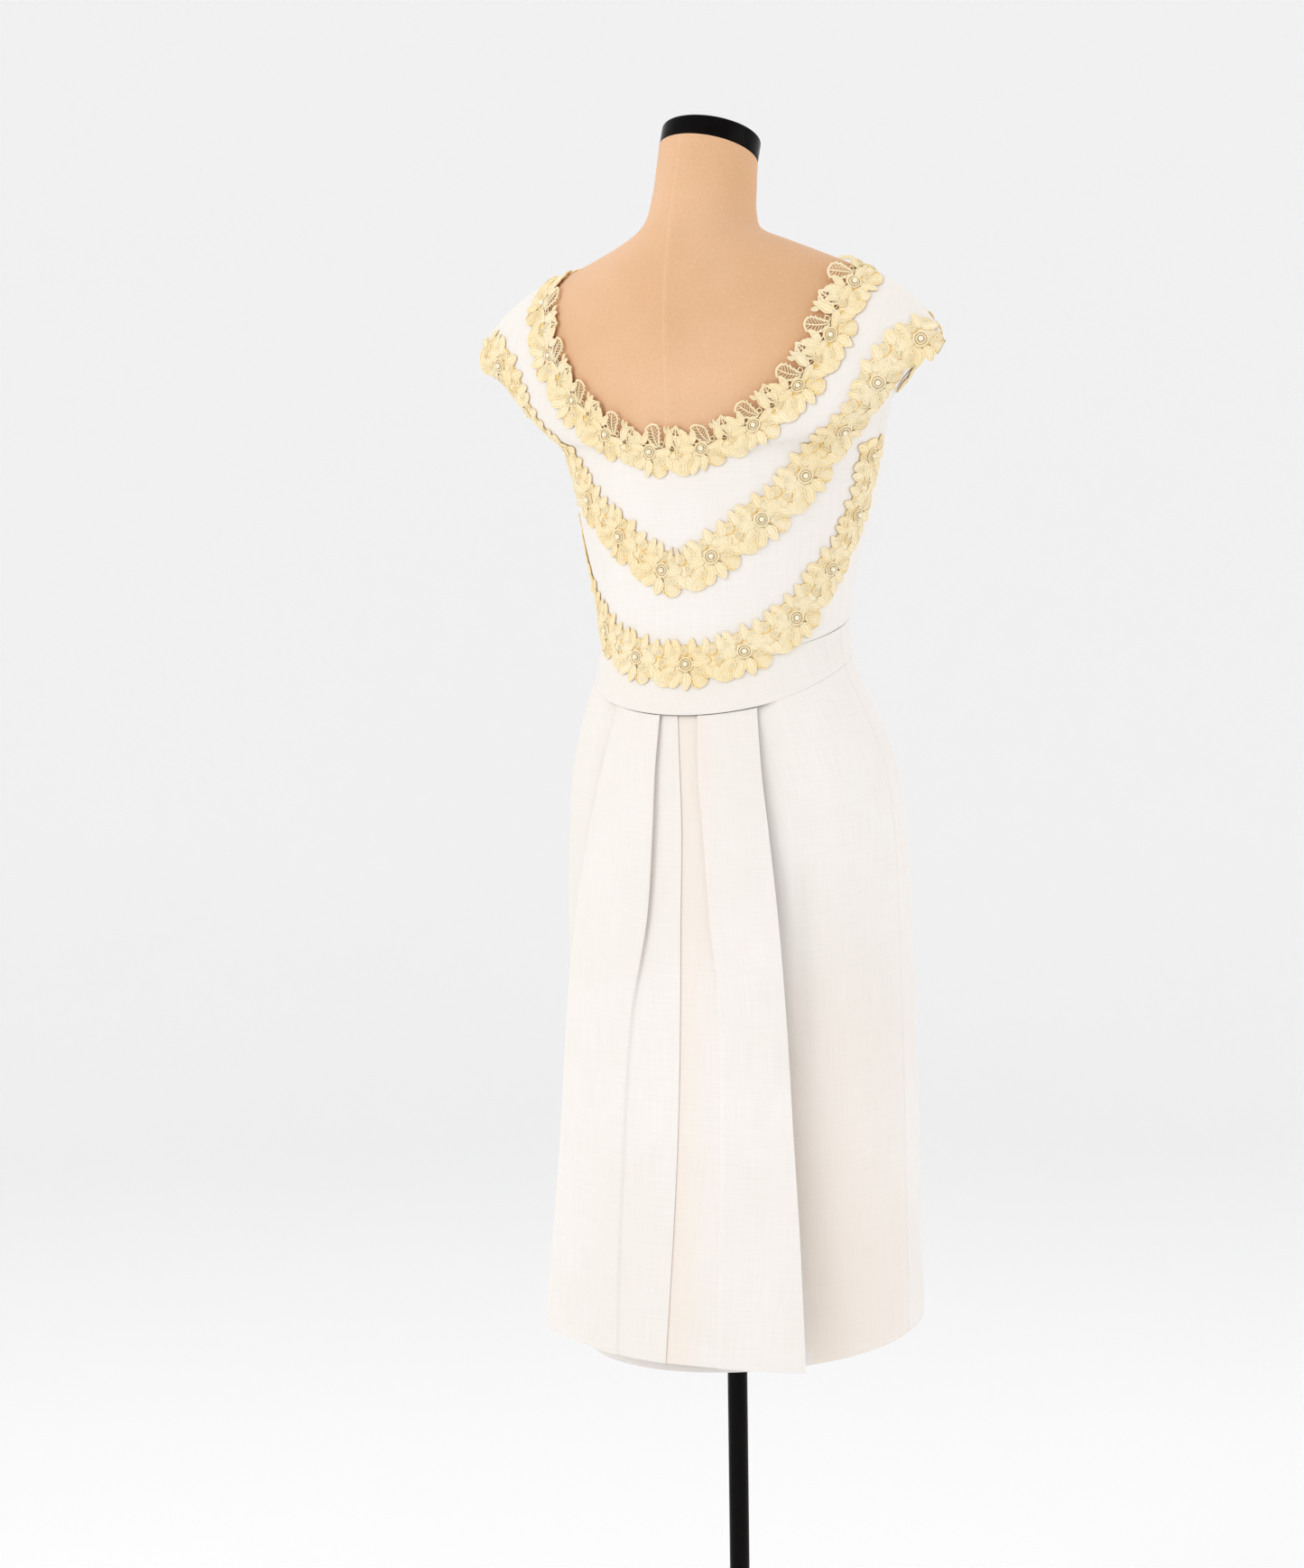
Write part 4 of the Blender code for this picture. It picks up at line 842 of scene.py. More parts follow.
def ring_grid(turns, counts, lowest, highest, tucked):
    """A part of the waistband or skirt between two turns; lowest and highest are functions of the turn."""
    columns, levels = counts
    turn = np.linspace(*turns, columns)[None, :]
    up = np.linspace(0, 1, levels)[:, None]
    z = mix(lowest(turn), highest(turn), up)
    return skirt_points(np.broadcast_to(turn, z.shape), z, tucked)


def waist_top(turn):
    return WAIST_TOP - SEWN_GAP - WAIST_TOP_TILT * np.cos(turn)


def skirt_top(turn):
    return waist_bottom(turn) - SEWN_GAP


def skirt_hem(turn):
    return HEM - HEM_TILT * np.cos(turn) - HEM_LEAN * np.sin(turn)


SIDE = math.pi / 2
SIDE_TRIM = 0.0012
HALF_TURNS = {
    "back": (-SIDE + SIDE_TRIM, SIDE - SIDE_TRIM),
    "front": (SIDE + SIDE_TRIM, 3 * SIDE - SIDE_TRIM),
}
BAND_COUNTS = (120, 14)
SKIRT_COUNTS = (150, 110)
band_grids, skirt_grids = {}, {}
for side, turns in HALF_TURNS.items():
    band_grids["waistband_" + side] = ring_grid(turns, BAND_COUNTS, waist_bottom, waist_top, False)
    skirt_grids["skirt_" + side] = ring_grid(turns, SKIRT_COUNTS, skirt_hem, skirt_top, True)
hem_middle = skirt_grids["skirt_back"][0, SKIRT_COUNTS[0] // 2]
print("hem at the centre back:", hem_middle.round(4))

# %% [markdown]
# ## The two hanging panels
#
# Across a panel, the first part is flat, the next turns over as the soft pleat, and the rest eases back to
# the skirt. The pleat's edge stands over the cloth beside it, and that small overlap is what draws the dark
# line down the photograph. The left panel laps over the right one, a cloth's thickness higher.

# %% Hanging panels
PANEL_FOLD_HALF = 0.0024
PANEL_FOLD_TURN = 0.0036
FOLD_CLOSED_Z = 0.745
FOLD_OPEN_Z = 0.860
INNER_PART = 0.30
FOLD_PART = 0.14
PANEL_LEVEL_COUNT = 120
PANEL_COLUMN_COUNT = 90


def panel_level(column, z):
    return from_table(PANEL_LEVELS, "z", column, z)


def panel_profile(across, z, hand):
    """x and lift of a panel's points; across runs from its lapped edge (0) to its free edge (1)."""
    lap = panel_level("lap_x", z) + (UNDERLAP if hand < 0 else 0.0)
    fold = panel_level("fold_left" if hand > 0 else "fold_right", z)
    edge = hand * panel_level("edge_x", z)
    lift = panel_level("lift", z)
    low = PANEL_CLOTH + SEAM_GAP if hand > 0 else 0.0
    high = lift + PANEL_CLOTH + SEAM_GAP
    flat_part = np.clip(across / INNER_PART, 0, 1)
    turn_part = np.clip((across - INNER_PART) / FOLD_PART, 0, 1)
    outer_part = np.clip((across - INNER_PART - FOLD_PART) / (1 - INNER_PART - FOLD_PART), 0, 1)
    inner_x = mix(lap, fold - hand * PANEL_FOLD_HALF, flat_part)
    sway = PANEL_FOLD_TURN * step(FOLD_CLOSED_Z, FOLD_OPEN_Z, z)
    turn_x = fold + hand * (PANEL_FOLD_HALF * (2 * turn_part - 1) + sway * np.sin(2 * math.pi * turn_part))
    outer_x = mix(fold + hand * PANEL_FOLD_HALF, edge, outer_part)
    x = np.where(across < INNER_PART, inner_x, np.where(across < INNER_PART + FOLD_PART, turn_x, outer_x))
    ease = (1 if hand > 0 else RIGHT_PANEL_EASE) * outer_part ** 3
    risen = turn_part * turn_part * (3 - 2 * turn_part)
    top = low + high if hand > 0 else high
    return x, mix(low, top, risen) - high * ease


def panel_grid(hand, edge_hem):
    """Grid of a hanging panel, from its hem up to the waist seam."""
    across = np.linspace(0, 1, PANEL_COLUMN_COUNT)
    top_x, _ = panel_profile(across, np.full_like(across, WAIST_BOTTOM_BACK), hand)
    top = waist_bottom(np.arcsin(top_x / PANEL_TOP_RADIUS)) - 2 * SEAM_GAP
    low_x, _ = panel_profile(across, np.full_like(across, HEM), hand)
    hem_part = np.clip(np.abs(low_x) / PANEL_LEVELS[0].edge_x, 0, 1)
    bottom = mix(PANEL_HEM_LAP, edge_hem, hem_part ** 2)
    z = mix(bottom[None, :], top[None, :], np.linspace(0, 1, PANEL_LEVEL_COUNT)[:, None])
    x, lift = panel_profile(np.broadcast_to(across, z.shape), z, hand)
    part = np.clip(np.abs(x) / panel_level("edge_x", z), 0, 1)
    centre, edge = panel_level("centre_y", z), panel_level("edge_y", z)
    return np.stack([x, centre - (centre - edge) * part ** 2 + lift, z], axis=-1)


panel_grids = {
    "hanging_panel_left": panel_grid(1.0, PANEL_HEM_EDGE),
    "hanging_panel_right": panel_grid(-1.0, PANEL_HEM_FAR_EDGE),
}
print("panels", [grid.shape for grid in panel_grids.values()])

# %% [markdown]
# ## Where the bodice meets the waistband
#
# The bodice is sewn to the waistband, so their edges meet all round. The two shapes above miss each other
# by a few millimetres, so the lowest part of the bodice is eased out to the band's top edge.

# %% Ease the bodice out to the waistband
SEAM_BLEND = 0.060
SIDE_SEAM_PART = 0.93


def meeting_band(half, band):
    """A bodice half whose lowest part is eased out to the top edge of its waistband."""
    band_tree = tree_of(band)
    on_band = np.array([band_tree.find_nearest(Vector(point))[0] for point in half[0]])
    share = 1 - step(0.0, SEAM_BLEND, half[..., 2] - half[:1, :, 2])
    share = share * (1 - step(SIDE_SEAM_PART, 1.0, np.linspace(0, 1, half.shape[1])))
    return half + (on_band - half[0])[None] * (1, 1, 0) * share[..., None]


back_halves = [meeting_band(half, band_grids["waistband_back"]) for half in back_halves]
front_halves = [meeting_band(half, band_grids["waistband_front"]) for half in front_halves]
print("bodice back meets its band at", back_halves[0][0, 0].round(4))

# %% [markdown]
# ## Painted warm shade beside the hanging edges
#
# Light that gets between two layers of ivory cloth comes out warmer, and here that warm shade is painted.
# Beside an edge that hangs over it, the lower layer has a mark that fades with the distance, and the linen
# finish tints it there with the painted warm shade.

# %% Painted warm shade marks
PANEL_LAP = 0.014
# how far the painted warm shade reaches beside an edge, and the heights over which it fades out
PAINTED_SHADE_REACH_PANEL = 0.040
PAINTED_SHADE_REACH_SKIRT = 0.080
PAINTED_SHADE_FULL_Z = 0.62
PAINTED_SHADE_NONE_Z = 0.90


def right_edge(grid):
    """The edge of a panel on the wearer's right, from its hem up."""
    edge = min((grid[:, 0], grid[:, -1]), key=lambda line: line[:, 0].mean())
    return edge[np.argsort(edge[:, 2])]


def near_edge(grid, edge, reach):
    """1 where a grid's point lies at the edge that hangs over it, 0 from reach away to the right."""
    away = np.interp(grid[..., 2], edge[:, 2], edge[:, 0]) - grid[..., 0]
    return np.where(away > -PANEL_LAP, np.clip(1 - away / reach, 0, 1), 0.0)


left_edge = right_edge(panel_grids["hanging_panel_left"])
outer_edge = right_edge(panel_grids["hanging_panel_right"])
painted_shade_fade = 1 - step(PAINTED_SHADE_FULL_Z, PAINTED_SHADE_NONE_Z, skirt_grids["skirt_back"][..., 2])
# painted warm shade beside the overhanging edges, fading out up the skirt
painted_shade_marks = {
    "hanging_panel_right": near_edge(panel_grids["hanging_panel_right"], left_edge, PAINTED_SHADE_REACH_PANEL),
    "skirt_back": near_edge(skirt_grids["skirt_back"], outer_edge, PAINTED_SHADE_REACH_SKIRT) * painted_shade_fade,
}
print("warm marks:", {name: values.mean().round(3) for name, values in painted_shade_marks.items()})

# %% [markdown] ## Sewn pieces  Every cut piece becomes one mesh with its grain, gets its thickness,
# replaces the plain solid that the frame has in its place, and rides with the one body that the model
# has.

# %% Make the sewn pieces
BODICE_ROUNDING = 0.4 * MM
SEWN_ROUNDING = 0.3 * MM


def settle(piece, slot, *nodes):
    """Let a finished piece stand for its nodes and ride with the model."""
    if nodes:
        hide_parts(*nodes)
    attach(piece, "root")
    report(piece)


def sew(name, grids, grains, finish, thickness, rounding, marks=None):
    """One cut piece from its grids, finished and settled in place of its plain solid."""
    mesh = mesh_from_grids(name + "_cloth", grids, grains, marks)
    piece = add_piece(name + "_cloth", mesh, finishes[finish])
    add_wall(piece, thickness, rounding)
    settle(piece, "dress_cloth", name)


for name, halves in (("bodice_back", back_halves), ("bodice_front", front_halves)):
    starts = [np.abs(half[:, :1, 0]) for half in halves]
    grains = [grain_of(half, start, hand) for half, start, hand in zip(halves, starts, (1, -1))]
    sew(name, halves, grains, "bodice", CLOTH, BODICE_ROUNDING)
for grids, thickness, finish, held, carrier in (
    (band_grids, BAND_CLOTH, "bodice", "draped", "form_cover"),
    (skirt_grids, CLOTH, "skirt", "hung", "waistband_{side}_cloth"),
    (panel_grids, PANEL_CLOTH, "skirt", "hung", "waistband_back_cloth"),
):
    for name, grid in grids.items():
        # the painted warm shade goes to its pieces as the mark called warm
        marks = {"warm": [painted_shade_marks[name]]} if name in painted_shade_marks else None
        sew(name, [grid], [grain_of(grid)], finish, thickness, SEWN_ROUNDING, marks)

# %% [markdown]
# ## Corded lace
#
# Guipure lace is stitched on a ground that is washed out afterwards, so it is nothing but thread: raised
# pads of satin stitch, cords round them, and small bars that tie one motif to the next. `Lacework` gathers
# these in millimetres, with x along the band, y towards its inner edge and z off the cloth. Every pad and
# cord is a small closed body. Three numbers go with each point: `tone` is painted shade and light, 0 down
# in the gaps and under the cords and 1 on top of a thread, `to_middle` says where its motif's middle is, so
# that a cut end of the band keeps whole motifs, and `corded` tells the cords from the pads, which become
# two pieces. The UV map called `thread` runs along the threads.

# %% Pads and cords
class Lacework:
    """The pads and cords of one lace repeat, in millimetres."""

    def __init__(self):
        self.points, self.faces, self.tones, self.threads, self.middles = [], [], [], [], []
        self.corded = []

    def add(self, points, faces, tones, threads, corded=0.0):
        """Take in one closed body: its points and faces, a tone and a place on the thread for each."""
        points = np.asarray(points, float)
        start = sum(len(part) for part in self.points)
        self.points.append(points)
        self.faces += [tuple(np.asarray(face) + start) for face in faces]
        self.tones.append(np.asarray(tones, float))
        self.threads.append(np.asarray(threads, float))
        self.middles.append(points[:, 0].mean() - points[:, 0])
        self.corded.append(np.full(len(points), corded))

    def cord(self, line, radius, closed=False, sides=5, tone=1.0):
        """A round cord along a line of points."""
        line = np.asarray(line, float)
        count = len(line)
        if closed:
            ahead, behind = np.roll(line, -1, axis=0), np.roll(line, 1, axis=0)
        else:
            ahead, behind = np.vstack([line[1:], line[-1:]]), np.vstack([line[:1], line[:-1]])
        along = unit(ahead - behind)
        aside = unit(np.cross((0, 0, 1.0), along))
        upward = np.cross(along, aside)
        turns = np.arange(sides) / sides * 2 * math.pi
        up_part, side_part = np.cos(turns)[None, :, None], np.sin(turns)[None, :, None]
        around = up_part * upward[:, None] + side_part * aside[:, None]
        points = line[:, None] + around * radius
        distance = np.concatenate([[0], np.cumsum(np.linalg.norm(np.diff(line, axis=0), axis=1))])
        # painted shade under the cord: its tone falls to 0.12 underneath and keeps the full tone on top
        tones = np.broadcast_to(mix(0.12, tone, 0.5 + 0.5 * np.cos(turns)), (count, sides))
        threads = np.stack(np.broadcast_arrays(distance[:, None], turns[None, :] / 2), axis=-1)
        faces = []
        for row in range(count if closed else count - 1):
            faces += band_faces(row * sides, (row + 1) % count * sides, sides)
        if not closed:
            faces.append(tuple(range(sides)))
            faces.append(tuple(range((count - 1) * sides, count * sides)))
        self.add(points.reshape(-1, 3), faces, tones.ravel(), threads.reshape(-1, 2), 1.0)

    def pad(self, outline, spine, crown, edge=0.45, base=0.0, ribs=0.0, deep=0.0):
        """A domed pad of satin stitch; each outline point has its own point of the spine."""
        outline, spine = np.asarray(outline, float), np.asarray(spine, float)
        count = len(outline)
        groove = ribs * np.where(np.arange(count) % 2, -1.0, 1.0)
        shoulder = mix(base + edge, base + crown, 0.55)
        # Each ring's share of the outline, height, tone (painted shade low down, painted light on the
        # crown), and share of the ribs
        rings = [(1.0, base, 0.0, 0.0), (1.0, base + edge, 0.15, 0.3), (0.76, shoulder, 0.30, 1.0),
                 (0.40, base + crown - deep, 0.95, 0.9)]
        points, tones, threads = [], [], []
        length = np.linalg.norm(outline - spine, axis=1)
        travel = np.linalg.norm(spine - spine[0], axis=1)
        if travel.max() < 1e-6:
            travel = np.arange(count) / count * 2 * math.pi * length.mean()
        for share, height, tone, rib in rings:
            ring = spine + (outline - spine) * share
            points.append(np.column_stack([ring, height + groove * rib]))
            tones.append(tone + groove * rib)
            threads.append(np.column_stack([travel, length * share]))
        ends, top = {}, []
        for place in spine:
            key = tuple(np.round(place, 3))
            if key not in ends:
                ends[key] = len(rings) * count + len(top)
                top.append(place)
        points.append(np.column_stack([top, np.full(len(top), base + crown - deep * 1.4)]))
        tones.append(np.ones(len(top)))
        run = np.linalg.norm(np.array(top) - spine[0], axis=1)
        threads.append(np.column_stack([run, np.zeros(len(top))]))
        faces = [tuple(range(count - 1, -1, -1))]
        for ring in range(len(rings) - 1):
            faces += band_faces(ring * count, (ring + 1) * count, count)
        last = (len(rings) - 1) * count
        for index in range(count):
            beside = (index + 1) % count
            first, second = (ends[tuple(np.round(spine[corner], 3))] for corner in (index, beside))
            face = (last + index, last + beside, second, first)
            faces.append(face if first != second else face[:3])
        self.add(np.vstack(points), faces, np.concatenate(tones), np.vstack(threads))

    def mesh(self, name):
        """The gathered motifs as a mesh in metres."""
        mesh = bpy.data.meshes.new(name)
        mesh.from_pydata((np.vstack(self.points) * MM).tolist(), [], self.faces)
        add_mark(mesh, "tone", np.concatenate(self.tones))
        add_mark(mesh, "to_middle", np.concatenate(self.middles) * MM)
        add_mark(mesh, "corded", np.concatenate(self.corded))
        add_uv(mesh, "thread", np.vstack(self.threads))
        whole = bmesh.new()
        whole.from_mesh(mesh)
        bmesh.ops.recalc_face_normals(whole, faces=whole.faces)
        whole.to_mesh(mesh)
        whole.free()
        mesh.shade_smooth()
        return mesh


print("a lace repeat holds", list(vars(Lacework())))

# %% [markdown]
# ## The motifs of the lace
#
# All motifs come from one idea: a spine, and a half width along it. A leaf narrows to its tip, a finger
# stays wide, and a shell is widest near its end. Their edges are scalloped, with a cord round them and a
# cord or a few bars inside. Round motifs are a ring for the pearl and a curl that winds to its middle.

# %% Motifs
OUTLINES = {
    "leaf": ((0.0, 0.20), (0.22, 0.80), (0.45, 1.0), (0.74, 0.66), (0.93, 0.26), (1.0, 0.0)),
    "finger": ((0.0, 0.45), (0.20, 0.86), (0.55, 1.0), (0.85, 0.80), (0.96, 0.45), (1.0, 0.0)),
    "shell": ((0.0, 0.16), (0.28, 0.62), (0.62, 1.0), (0.86, 0.86), (0.97, 0.40), (1.0, 0.0)),
}
CORD_RADIUS = 0.72
OPEN_CORD_RADIUS = 1.05
OPEN_RIB_RADIUS = 0.70
OPEN_VEIN_RADIUS = 0.42
RIB_RADIUS = 0.30
VEIN_DEPTH = 0.13
PAD_EDGE = 0.5
PICOT_RADIUS = 0.75
CURL_WINDS = 1.6
CURL_CORD_RADIUS = 0.50
BAR_HEIGHT = 0.6


def spine_of(x, y, turn, length, bend, parts):
    """Points of a spine from its foot, for parts of its length; turn and bend are in degrees."""
    fine = np.linspace(0, 1, 41)
    heading = np.radians(turn + bend * (fine - 0.3))
    steps = np.stack([np.cos(heading), np.sin(heading)], axis=-1) * length / 40
    travel = np.concatenate([[(0.0, 0.0)], np.cumsum((steps[1:] + steps[:-1]) / 2, axis=0)])
    places = np.stack([np.interp(parts, fine, travel[:, axis]) for axis in (0, 1)], axis=-1)
    towards = np.interp(parts, fine, heading)
    return places + (x, y), np.stack([-np.sin(towards), np.cos(towards)], axis=-1)


def outline_of(x, y, turn, length, width, kind, bend=0.0, scallops=0, points=11):
    """Outline of a leaf, finger or shell, and the spine point of each of its points."""
    parts = (1 - np.cos(np.linspace(0, math.pi, points))) / 2
    shape = np.array(OUTLINES[kind])
    half = smooth(shape[:, 0], shape[:, 1], parts) * width / 2
    if scallops:
        half = half * (1 + 0.20 * (np.abs(np.sin(parts * math.pi * scallops)) - 0.6))
    spine, aside = spine_of(x, y, turn, length, bend, parts)
    left, right = spine + aside * half[:, None], spine - aside * half[:, None]
    outline = np.vstack([left, right[-2:0:-1]])
    return outline, np.vstack([spine, spine[-2:0:-1]])


def at_height(line, height):
    """A flat line of points lifted off the cloth."""
    return np.column_stack([line, np.full(len(line), height)])


def leaf(work, x, y, turn, length, width, kind="leaf", bend=0.0, scallops=0, crown=1.35, base=0.0,
         veins=True):
    """A filled leaf with a cord round it and a midrib."""
    points = 13 if scallops else 10
    outline, spine = outline_of(x, y, turn, length, width, kind, bend, scallops, points)
    work.pad(outline, spine, crown, PAD_EDGE, base, VEIN_DEPTH if veins else 0.0)
    work.cord(at_height(outline, base + 0.95), CORD_RADIUS, closed=True)
    rib, _ = spine_of(x, y, turn, length, bend, np.linspace(0.05, 0.80, 6))
    work.cord(at_height(rib, base + crown + 0.12), RIB_RADIUS, sides=4)


def open_leaf(work, x, y, turn, length, width, kind="shell", bend=0.0, scallops=5, bars=6):
    """A leaf of cords with slanting veins and real gaps between them."""
    outline, spine = outline_of(x, y, turn, length, width, kind, bend, scallops, 15)
    work.cord(at_height(outline, 1.05), OPEN_CORD_RADIUS, closed=True)
    for point, foot in list(zip(outline, spine))[1::2]:
        picot = point + (point - foot) / max(np.linalg.norm(point - foot), 0.5) * 1.2
        disc(work, picot[0], picot[1], PICOT_RADIUS, 1.3, 6)
    rib, _ = spine_of(x, y, turn, length, bend, np.linspace(0.02, 0.95, 7))
    work.cord(at_height(rib, 1.2), OPEN_RIB_RADIUS)
    shape = np.array(OUTLINES[kind])
    feet = np.linspace(0.12, 0.74, bars)
    tips = feet + 0.17
    places, _ = spine_of(x, y, turn, length, bend, feet)
    reached, aside = spine_of(x, y, turn, length, bend, tips)
    halves = smooth(shape[:, 0], shape[:, 1], tips) * width / 2 * 0.94
    for place, end, across, half in zip(places, reached, aside, halves):
        for hand in (1, -1):
            tip = end + across * half * hand
            work.cord([(*place, 1.05), (*tip, 0.95)], OPEN_VEIN_RADIUS, sides=4, tone=0.9)


# %% Round motifs
def round_line(x, y, radius, turns):
    """Points at turns on a circle, or on a curl where the radius changes too."""
    return np.column_stack([x + radius * np.cos(turns), y + radius * np.sin(turns)])


def ring(work, x, y, radius, cord_radius, height, points=18):
    turns = np.linspace(0, 2 * math.pi, points, endpoint=False)
    work.cord(at_height(round_line(x, y, radius, turns), height), cord_radius, closed=True)


def disc(work, x, y, radius, crown, points, ribs=0.0, base=0.0, deep=0.0):
    turns = np.linspace(0, 2 * math.pi, points, endpoint=False)
    middles = np.tile((x, y), (points, 1))
    work.pad(round_line(x, y, radius, turns), middles, crown, min(0.45, crown * 0.5), base, ribs, deep)


def pearl_flower(work, x, y):
    """Two corded rings round the seat of a pearl, on a low pad."""
    disc(work, x, y, 6.7, 1.1, 20, 0.12, 0.0, 0.1)
    ring(work, x, y, 6.1, 0.85, 1.55)
    ring(work, x, y, 3.9, 0.70, 1.75)


def curl(work, x, y, radius, start, base):
    """A cord that winds from the rim of a small pad to its middle."""
    disc(work, x, y, radius, 1.0, 14, 0.0, base)
    parts = np.linspace(0, 1, 22)
    reach = mix(radius - 0.3, radius * 0.16, parts)
    turns = math.radians(start) + parts * CURL_WINDS * 2 * math.pi
    line = np.column_stack([round_line(x, y, reach, turns), base + 1.05 + 0.5 * parts])
    work.cord(line, CURL_CORD_RADIUS)


def shell(work, x, y, turn, length, width, bend):
    """A scalloped shell with cords that follow its edge."""
    outline, spine = outline_of(x, y, turn, length, width, "shell", bend, 5, 15)
    middle = spine.mean(axis=0)
    work.pad(outline, spine, 1.25, PAD_EDGE, ribs=0.16)
    for share, height, radius, sides in ((1.0, 0.9, 0.55, 5), (0.66, 1.35, 0.36, 4), (0.34, 1.45, 0.32, 4)):
        line = spine + (outline - spine) * share
        line = middle + (line - middle) * (0.4 + 0.6 * share)
        work.cord(at_height(line, height), radius, closed=True, sides=sides)


def bar(work, *places, radius=0.34):
    """A thin cord that ties one motif to the next."""
    work.cord([(*place, BAR_HEIGHT) for place in places], radius, sides=4, tone=0.7)


print("outlines:", list(OUTLINES))

# %% [markdown]
# ## Two repeats of the lace
#
# The pattern repeats every 52 millimetres, with one pearl flower in each repeat. Its outer half, which
# always lies on the cloth, is the same in both: leaves and shells that point outwards. The inner half is
# densely filled where the band lies on the cloth. At the neckline it stands free of the cloth, and there it
# is open, with single leaves, bars and gaps that show the form behind them.

# %% The repeats
LACE_REPEAT = 52.0
GROUND_SPANS = ((-2.0, 13.0), (11.0, 26.5), (25.0, 40.5), (38.0, 53.0))
GROUND_OUTER = -11.4


def outer_half(work):
    """Motifs from the middle line to the outer edge."""
    shell(work, 19.5, -6.2, -112, 16.7, 13.2, bend=-14)
    leaf(work, 26.0, -7.8, -88, 15.9, 8.5, bend=10, base=0.25)
    leaf(work, 31.5, -6.5, -62, 16.4, 8.3, "finger", bend=12)
    leaf(work, 11.0, -3.4, -128, 14.9, 8.0, "finger", bend=-18, scallops=4)
    leaf(work, 37.0, -2.2, -36, 14.9, 7.6, bend=24, base=0.2)
    shell(work, 45.5, -5.0, -82, 16.1, 13.8, bend=8)
    leaf(work, 1.5, -5.6, -100, 14.6, 8.0, bend=-10, base=0.3)
    curl(work, 13.5, -7.4, 4.8, 40, base=0.35)
    curl(work, 38.8, -9.1, 4.4, 160, base=0.35)
    leaf(work, 20.0, -0.6, 174, 15.5, 6.4, "finger", bend=-16, base=0.3)
    leaf(work, 32.6, 0.4, 8, 14.3, 6.7, "finger", bend=-18, base=0.3)
    curl(work, 48.6, 0.2, 4.9, 250, base=0.3)
    pearl_flower(work, 26.0, -0.6)


def ground_pads(work, inner_reach, middle):
    """Low pads behind the motifs, with wavy sides and narrower ends, in to inner_reach."""
    parts = np.linspace(0, 1, 7)
    fullness = 0.45 + 0.55 * np.sin(parts * math.pi) ** 0.6
    for left, right in GROUND_SPANS:
        across = mix(left, right, parts)
        outer = middle + (GROUND_OUTER - 1.4 * np.sin(parts * 6) - middle) * fullness
        inner = middle + (inner_reach + 0.1 * inner_reach * np.sin(parts * 5) - middle) * fullness
        outline = np.vstack([np.column_stack([across, outer]), np.column_stack([across, inner])[::-1]])
        spine = np.column_stack([outline[:, 0], np.full(len(outline), middle)])
        work.pad(outline, spine, 0.55, 0.35, ribs=0.08)


def dense_repeat():
    work = Lacework()
    ground_pads(work, inner_reach=12.0, middle=0.0)
    outer_half(work)
    leaf(work, 9.0, 6.9, 112, 14.3, 8.0, bend=-16)
    leaf(work, 20.0, 7.8, 96, 14.6, 8.7, bend=12, scallops=4)
    leaf(work, 33.0, 7.4, 72, 14.9, 8.3, "finger", bend=-14)
    leaf(work, 44.0, 6.7, 84, 14.9, 9.0, bend=16, scallops=4, base=0.15)
    curl(work, 14.4, 9.1, 5.4, 200, base=0.35)
    curl(work, 27.0, 11.8, 5.2, 300, base=0.30)
    curl(work, 38.6, 10.3, 5.5, 90, base=0.35)
    curl(work, 1.6, 9.6, 5.8, 10, base=0.25)
    leaf(work, 6.5, 2.5, 20, 13.6, 6.2, "finger", bend=20, base=0.45)
    leaf(work, 45.0, 3.4, 165, 13.6, 6.2, "finger", bend=-20, base=0.45)
    return work.mesh("lace_repeat_dense")


def open_repeat():
    work = Lacework()
    ground_pads(work, inner_reach=2.0, middle=-3.4)
    outer_half(work)
    open_leaf(work, 17.5, 4.7, 58, 21.7, 14.4, bend=26)
    leaf(work, 7.0, 4.0, 98, 18.0, 9.4, bend=-14)
    for turn in (62, 98, 134):
        foot_x = 7.0 + 5.2 * math.cos(math.radians(turn))
        foot_y = 15.2 + 2.4 * math.sin(math.radians(turn))
        leaf(work, foot_x, foot_y, turn, 6.2, 3.1, veins=False, crown=1.1)
    leaf(work, 38.0, 4.9, 72, 15.6, 7.6, bend=-16, scallops=4)
    leaf(work, 42.0, 5.6, 40, 13.6, 6.7, bend=18)
    leaf(work, 35.2, 5.4, 112, 13.6, 6.4, bend=-12)
    open_leaf(work, 50.0, 4.0, 96, 19.2, 9.9, "leaf", bend=12, scallops=4, bars=5)
    ring(work, 29.6, 7.2, 2.6, 0.52, 0.9, 14)
    ring(work, 14.2, 7.6, 2.2, 0.48, 0.9, 12)
    ring(work, 44.8, 11.6, 1.9, 0.45, 0.9, 12)
    bar(work, (0.0, 3.0), (6.5, 4.6), (13.0, 4.4), (19.0, 5.2), (26.0, 6.0), (33.0, 4.8), (39.0, 5.6),
        (46.0, 4.4), (LACE_REPEAT, 3.0), radius=0.5)
    bar(work, (10.6, 10.5), (14.0, 9.8), (17.6, 10.6))
    bar(work, (30.0, 10.0), (32.4, 12.0), (34.2, 11.6))
    bar(work, (27.5, 13.6), (30.6, 12.0), (31.6, 12.2))
    bar(work, (46.2, 9.0), (47.6, 10.4), (48.0, 12.4))
    bar(work, (3.2, 10.6), (1.2, 9.6), (0.6, 11.0))
    return work.mesh("lace_repeat_open")


lace_repeats = {"dense": dense_repeat(), "open": open_repeat()}
for name, mesh in lace_repeats.items():
    triangles = sum(len(face.vertices) - 2 for face in mesh.polygons)
    print("lace repeat", name, triangles, "triangles")

# %% [markdown]
# ## A row of repeats with Geometry Nodes
#
# A row of equal things is what Geometry Nodes do best. The tree lays a line of points, puts the repeat on
# each, makes the instances real and gives them their material. Count and spacing are named inputs, and the
# modifier's inputs are set by each socket's identifier before the object is evaluated.

